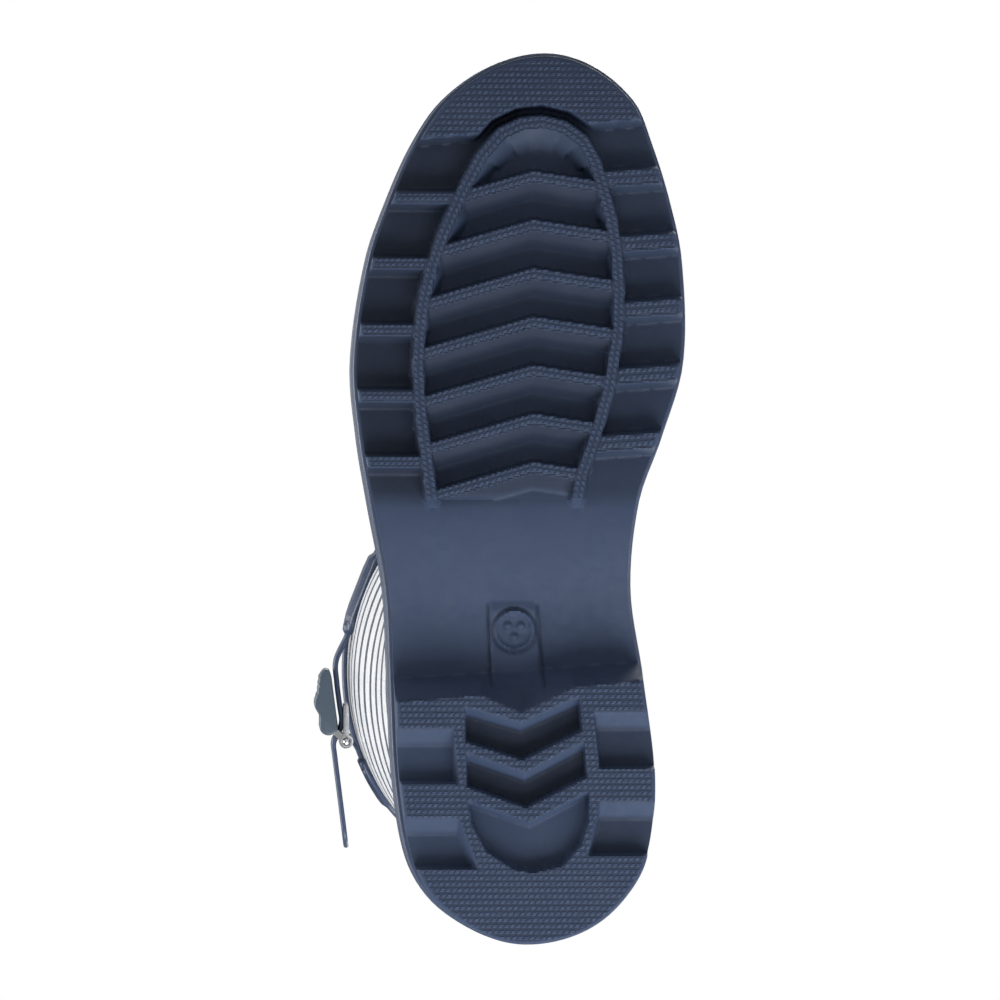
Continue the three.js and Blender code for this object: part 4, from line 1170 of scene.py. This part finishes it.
def makeLever(piece):  # a cam round the pin and a ridged thumb plate, slotted for the link's arms
    nose = arc((buckle["pinX"], buckle["pinOut"]), piece["noseRadius"], -90, 90, 15)
    thumb = smoothCurve([nose[-1]] + piece["back"], 60)[1:]
    normal = leftOf(np.gradient(thumb, axis=0))
    run = (thumb[:, 0] - piece["ridgesFrom"]) / piece["ridgePitch"]
    wave = piece["ridgeHeight"] * np.maximum(np.sin(run * 2 * np.pi), 0)
    wave *= (run > 0) & (run < piece["ridges"]) & (thumb[:, 1] > buckle["pinOut"])
    thumb += normal * wave[:, None] * (1 if normal[10, 1] > 0 else -1)
    under = smoothCurve([piece["back"][-1]] + piece["under"], 18)[1:-1]
    outline = np.concatenate([nose, thumb, under])
    low, high = form["strapZ"] - piece["halfHeight"], form["strapZ"] + piece["halfHeight"]
    obj = roundedStack("leverCover", outline, low, high, piece["edge"])
    for side in (-1, 1):
        near, far = sorted((side * piece["slotNear"], side * piece["slotFar"]))
        corners = [(piece["slotFrom"], -2), (30, -2), (30, 30), (piece["slotFrom"], 30)]
        cutter = roundedStack("slotCutter", corners, form["strapZ"] + near, form["strapZ"] + far, 0.01, 1)
        cut = obj.modifiers.new("slot", "BOOLEAN")
        cut.operation = "DIFFERENCE"
        cut.solver = "EXACT"
        cut.object = cutter
        applied(obj)
        bpy.data.objects.remove(cutter)
    obj.data.set_sharp_from_angle(angle=math.radians(35))
    return obj


finishPiece(makeLever(leverPiece), "slate", ["lever_cover"], body="lever")
tabPiece = {
    "half": 8.5, "thickness": 1.2, "corner": 0.3, "hole": 1.35, "tail": [-38, -34, -28, -22, -18, -16],
    "tailOut": 1.2,
}


def makeTab(piece):  # a strip folded round the bar: the eye, and a tail along the shaft
    radius = piece["hole"] + piece["thickness"] / 2 + 0.05
    eye = arc((buckle["barX"], buckle["barOut"]), radius, -95, 215, 30)[::-1]
    tail = [besideShaft(y, piece["tailOut"]) for y in piece["tail"]]
    line = smoothCurve([atBuckle(a, o, 0)[:2] for a, o in eye] + tail, 120)
    w, t, c = piece["half"], piece["thickness"] / 2, piece["corner"]
    half = [(-w, -t + c), (-w, t - c), (-w + c, t), (0, t), (w - c, t)]
    loop = np.array(half + [(-u, -v) for u, v in half])
    out = np.broadcast_to(loop[:, 1], (len(line), len(loop)))
    return bandAlong("buckleTab", line, out, form["strapZ"] + loop[:, 0], 45)


finishPiece(makeTab(tabPiece), "trim", ["buckle_tab"])
rodShape = {  # the dome's steps are (share of the radius, share of the dome's height)
    "around": 32, "domeHeight": 0.8,
    "dome": [(0.02, 0), (0.35, 0.05), (0.65, 0.18), (0.85, 0.38), (0.96, 0.62), (1, 0.95)],
}


def makeRod(name, centre, radius, low, high):  # a round bar with domed ends
    turns = np.linspace(0, 2 * np.pi, rodShape["around"], endpoint=False)
    unit = np.stack([np.cos(turns), np.sin(turns)])
    dome = [(share, step * radius * rodShape["domeHeight"]) for share, step in rodShape["dome"]]
    levels = [(low + d, share) for share, d in dome] + [(high - d, share) for share, d in dome[::-1]]
    rows = [pointGrid(*(centre[:2, None] + radius * share * unit), z) for z, share in levels]
    return tubeObject(name, rows, smoothAngle=50)


for rodName, nodeName in (("hingeBar", "hinge_bar"), ("leverPin", "lever_pin")):
    low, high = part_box(nodeName)
    rod = makeRod(rodName, nodeCentre(nodeName), (high[0] - low[0]) * 500, low[2] * 1000, high[2] * 1000)
    finishPiece(rod, "steel", [nodeName])
linkPiece = {"edge": 0.35}


def softened(name, node, width):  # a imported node's own shape with its edges rounded
    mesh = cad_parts[node].data.copy()
    obj = bpy.data.objects.new(name, mesh)
    bpy.context.scene.collection.objects.link(obj)
    merge = obj.modifiers.new("merge", "WELD")
    merge.merge_threshold = 0.00001
    plane = obj.modifiers.new("flat", "DECIMATE")
    plane.decimate_type = "DISSOLVE"
    plane.angle_limit = math.radians(2)
    bevel = obj.modifiers.new("edges", "BEVEL")
    bevel.width = width * mm
    bevel.segments = 3
    bevel.limit_method = "ANGLE"
    bevel.angle_limit = math.radians(40)
    applied(obj)
    obj.data.shade_smooth()
    obj.data.set_sharp_from_angle(angle=math.radians(40))
    return obj


finishPiece(softened("linkFrame", "link_frame", linkPiece["edge"]), "steel", ["link_frame"])
print("strap and buckle made")


# Floor, and lights
floorLook = {  # half its width and the fade are in metres
    "half": 3.0, "below": 0.4, "fadeFrom": 0.35, "fadeTo": 1.1, "colour": (0.86, 0.865, 0.87),
    "mottle": (0.84, 0.845, 0.85), "mottleSize": 400.0, "rough": 0.7,
}


def makeFloor(look):  # seen from above only, and fading out; the lights and a view from below pass through it
    s, z = look["half"] * 1000, -look["below"]
    corners = [(-s, -s, z), (s, -s, z), (s, s, z), (-s, s, z)]
    floor = makeObject("studioFloor", corners, [(0, 1, 2, 3)])
    material = bpy.data.materials.new("paleFloor")
    material.use_nodes = True
    tree = material.node_tree
    shader = tree.nodes["Principled BSDF"]
    shader.inputs["Roughness"].default_value = look["rough"]
    cloud = noiseOf(tree, objectPlace(tree, look["mottleSize"]), 1.0)
    mottled = mixColours(tree, cloud, look["colour"], look["mottle"])
    wire(tree, mottled, shader.inputs["Base Color"])
    clear = put(tree, "ShaderNodeBsdfTransparent")
    geometry = put(tree, "ShaderNodeNewGeometry")
    blend = put(tree, "ShaderNodeMixShader")
    path = put(tree, "ShaderNodeLightPath")
    above = maths(tree, "SUBTRACT", 1.0, geometry.outputs["Backfacing"])
    away = put(tree, "ShaderNodeVectorMath", operation="LENGTH")
    wire(tree, put(tree, "ShaderNodeTexCoord").outputs["Object"], away.inputs[0])
    falling = {"From Min": look["fadeFrom"], "From Max": look["fadeTo"], "To Min": 1.0, "To Max": 0.0}
    fade = put(tree, "ShaderNodeMapRange", falling, interpolation_type="SMOOTHSTEP")
    wire(tree, away.outputs["Value"], fade.inputs["Value"])
    shown = maths(tree, "MULTIPLY", above, fade.outputs["Result"])
    wire(tree, maths(tree, "MULTIPLY", path.outputs["Is Camera Ray"], shown), blend.inputs[0])
    wire(tree, clear.outputs[0], blend.inputs[1])
    wire(tree, shader.outputs[0], blend.inputs[2])
    wire(tree, blend.outputs[0], tree.nodes["Material Output"].inputs["Surface"])
    floor.data.materials.append(material)


makeFloor(floorLook)


def addArea(name, place, target, size, power):
    data = bpy.data.lights.new(name, "AREA")
    data.shape = "RECTANGLE"
    data.size, data.size_y = size
    data.energy = power
    lamp = bpy.data.objects.new(name, data)
    bpy.context.scene.collection.objects.link(lamp)
    lamp.location = place
    lamp.rotation_euler = (Vector(target) - Vector(place)).to_track_quat("-Z", "Y").to_euler()
    lamp.visible_camera = False


lights = [  # name, place, target, size, power; metres and watts
    ("heelLight", (0.2, 0.82, -0.62), (0, -0.05, 0.02), (1.1, 0.8), 17.5),
    ("toeLight", (0.1, -0.95, -0.7), (0, -0.08, 0.02), (0.9, 0.6), 1.3),
    ("medialLight", (1.3, 0.1, -0.4), (0, -0.12, 0.1), (0.8, 0.8), 3.0),
    ("shaftLight", (-1.3, 0.1, -0.12), (-0.03, -0.06, 0.18), (0.7, 0.7), 9.0),
    ("lateralLight", (-1.3, -0.3, 0.6), (0, -0.1, 0.15), (0.9, 0.9), 14.0),
    ("topLight", (0.5, -1.0, 1.7), (0, -0.1, 0.1), (1.2, 1.2), 30.0),
    ("backLight", (0.9, 1.0, 1.2), (0, -0.1, 0.1), (1.0, 1.0), 16.0),
]
for light in lights:
    addArea(*light)
worldLook = {"seen": 1.0, "given": 0.32}  # brightness as the camera sees it, and as the boot gets it


def makeWorld(look):
    world = bpy.data.worlds.new("studioWorld")
    bpy.context.scene.world = world
    world.use_nodes = True
    tree = world.node_tree
    background = tree.nodes["Background"]
    background.inputs["Color"].default_value = (1, 1, 1, 1)
    path = put(tree, "ShaderNodeLightPath")
    level = put(tree, "ShaderNodeMapRange", {"To Min": look["given"], "To Max": look["seen"]})
    wire(tree, path.outputs["Is Camera Ray"], level.inputs["Value"])
    wire(tree, level.outputs[0], background.inputs["Strength"])


makeWorld(worldLook)
bpy.context.scene.view_settings.view_transform = "Standard"
print("floor, lights and world made")
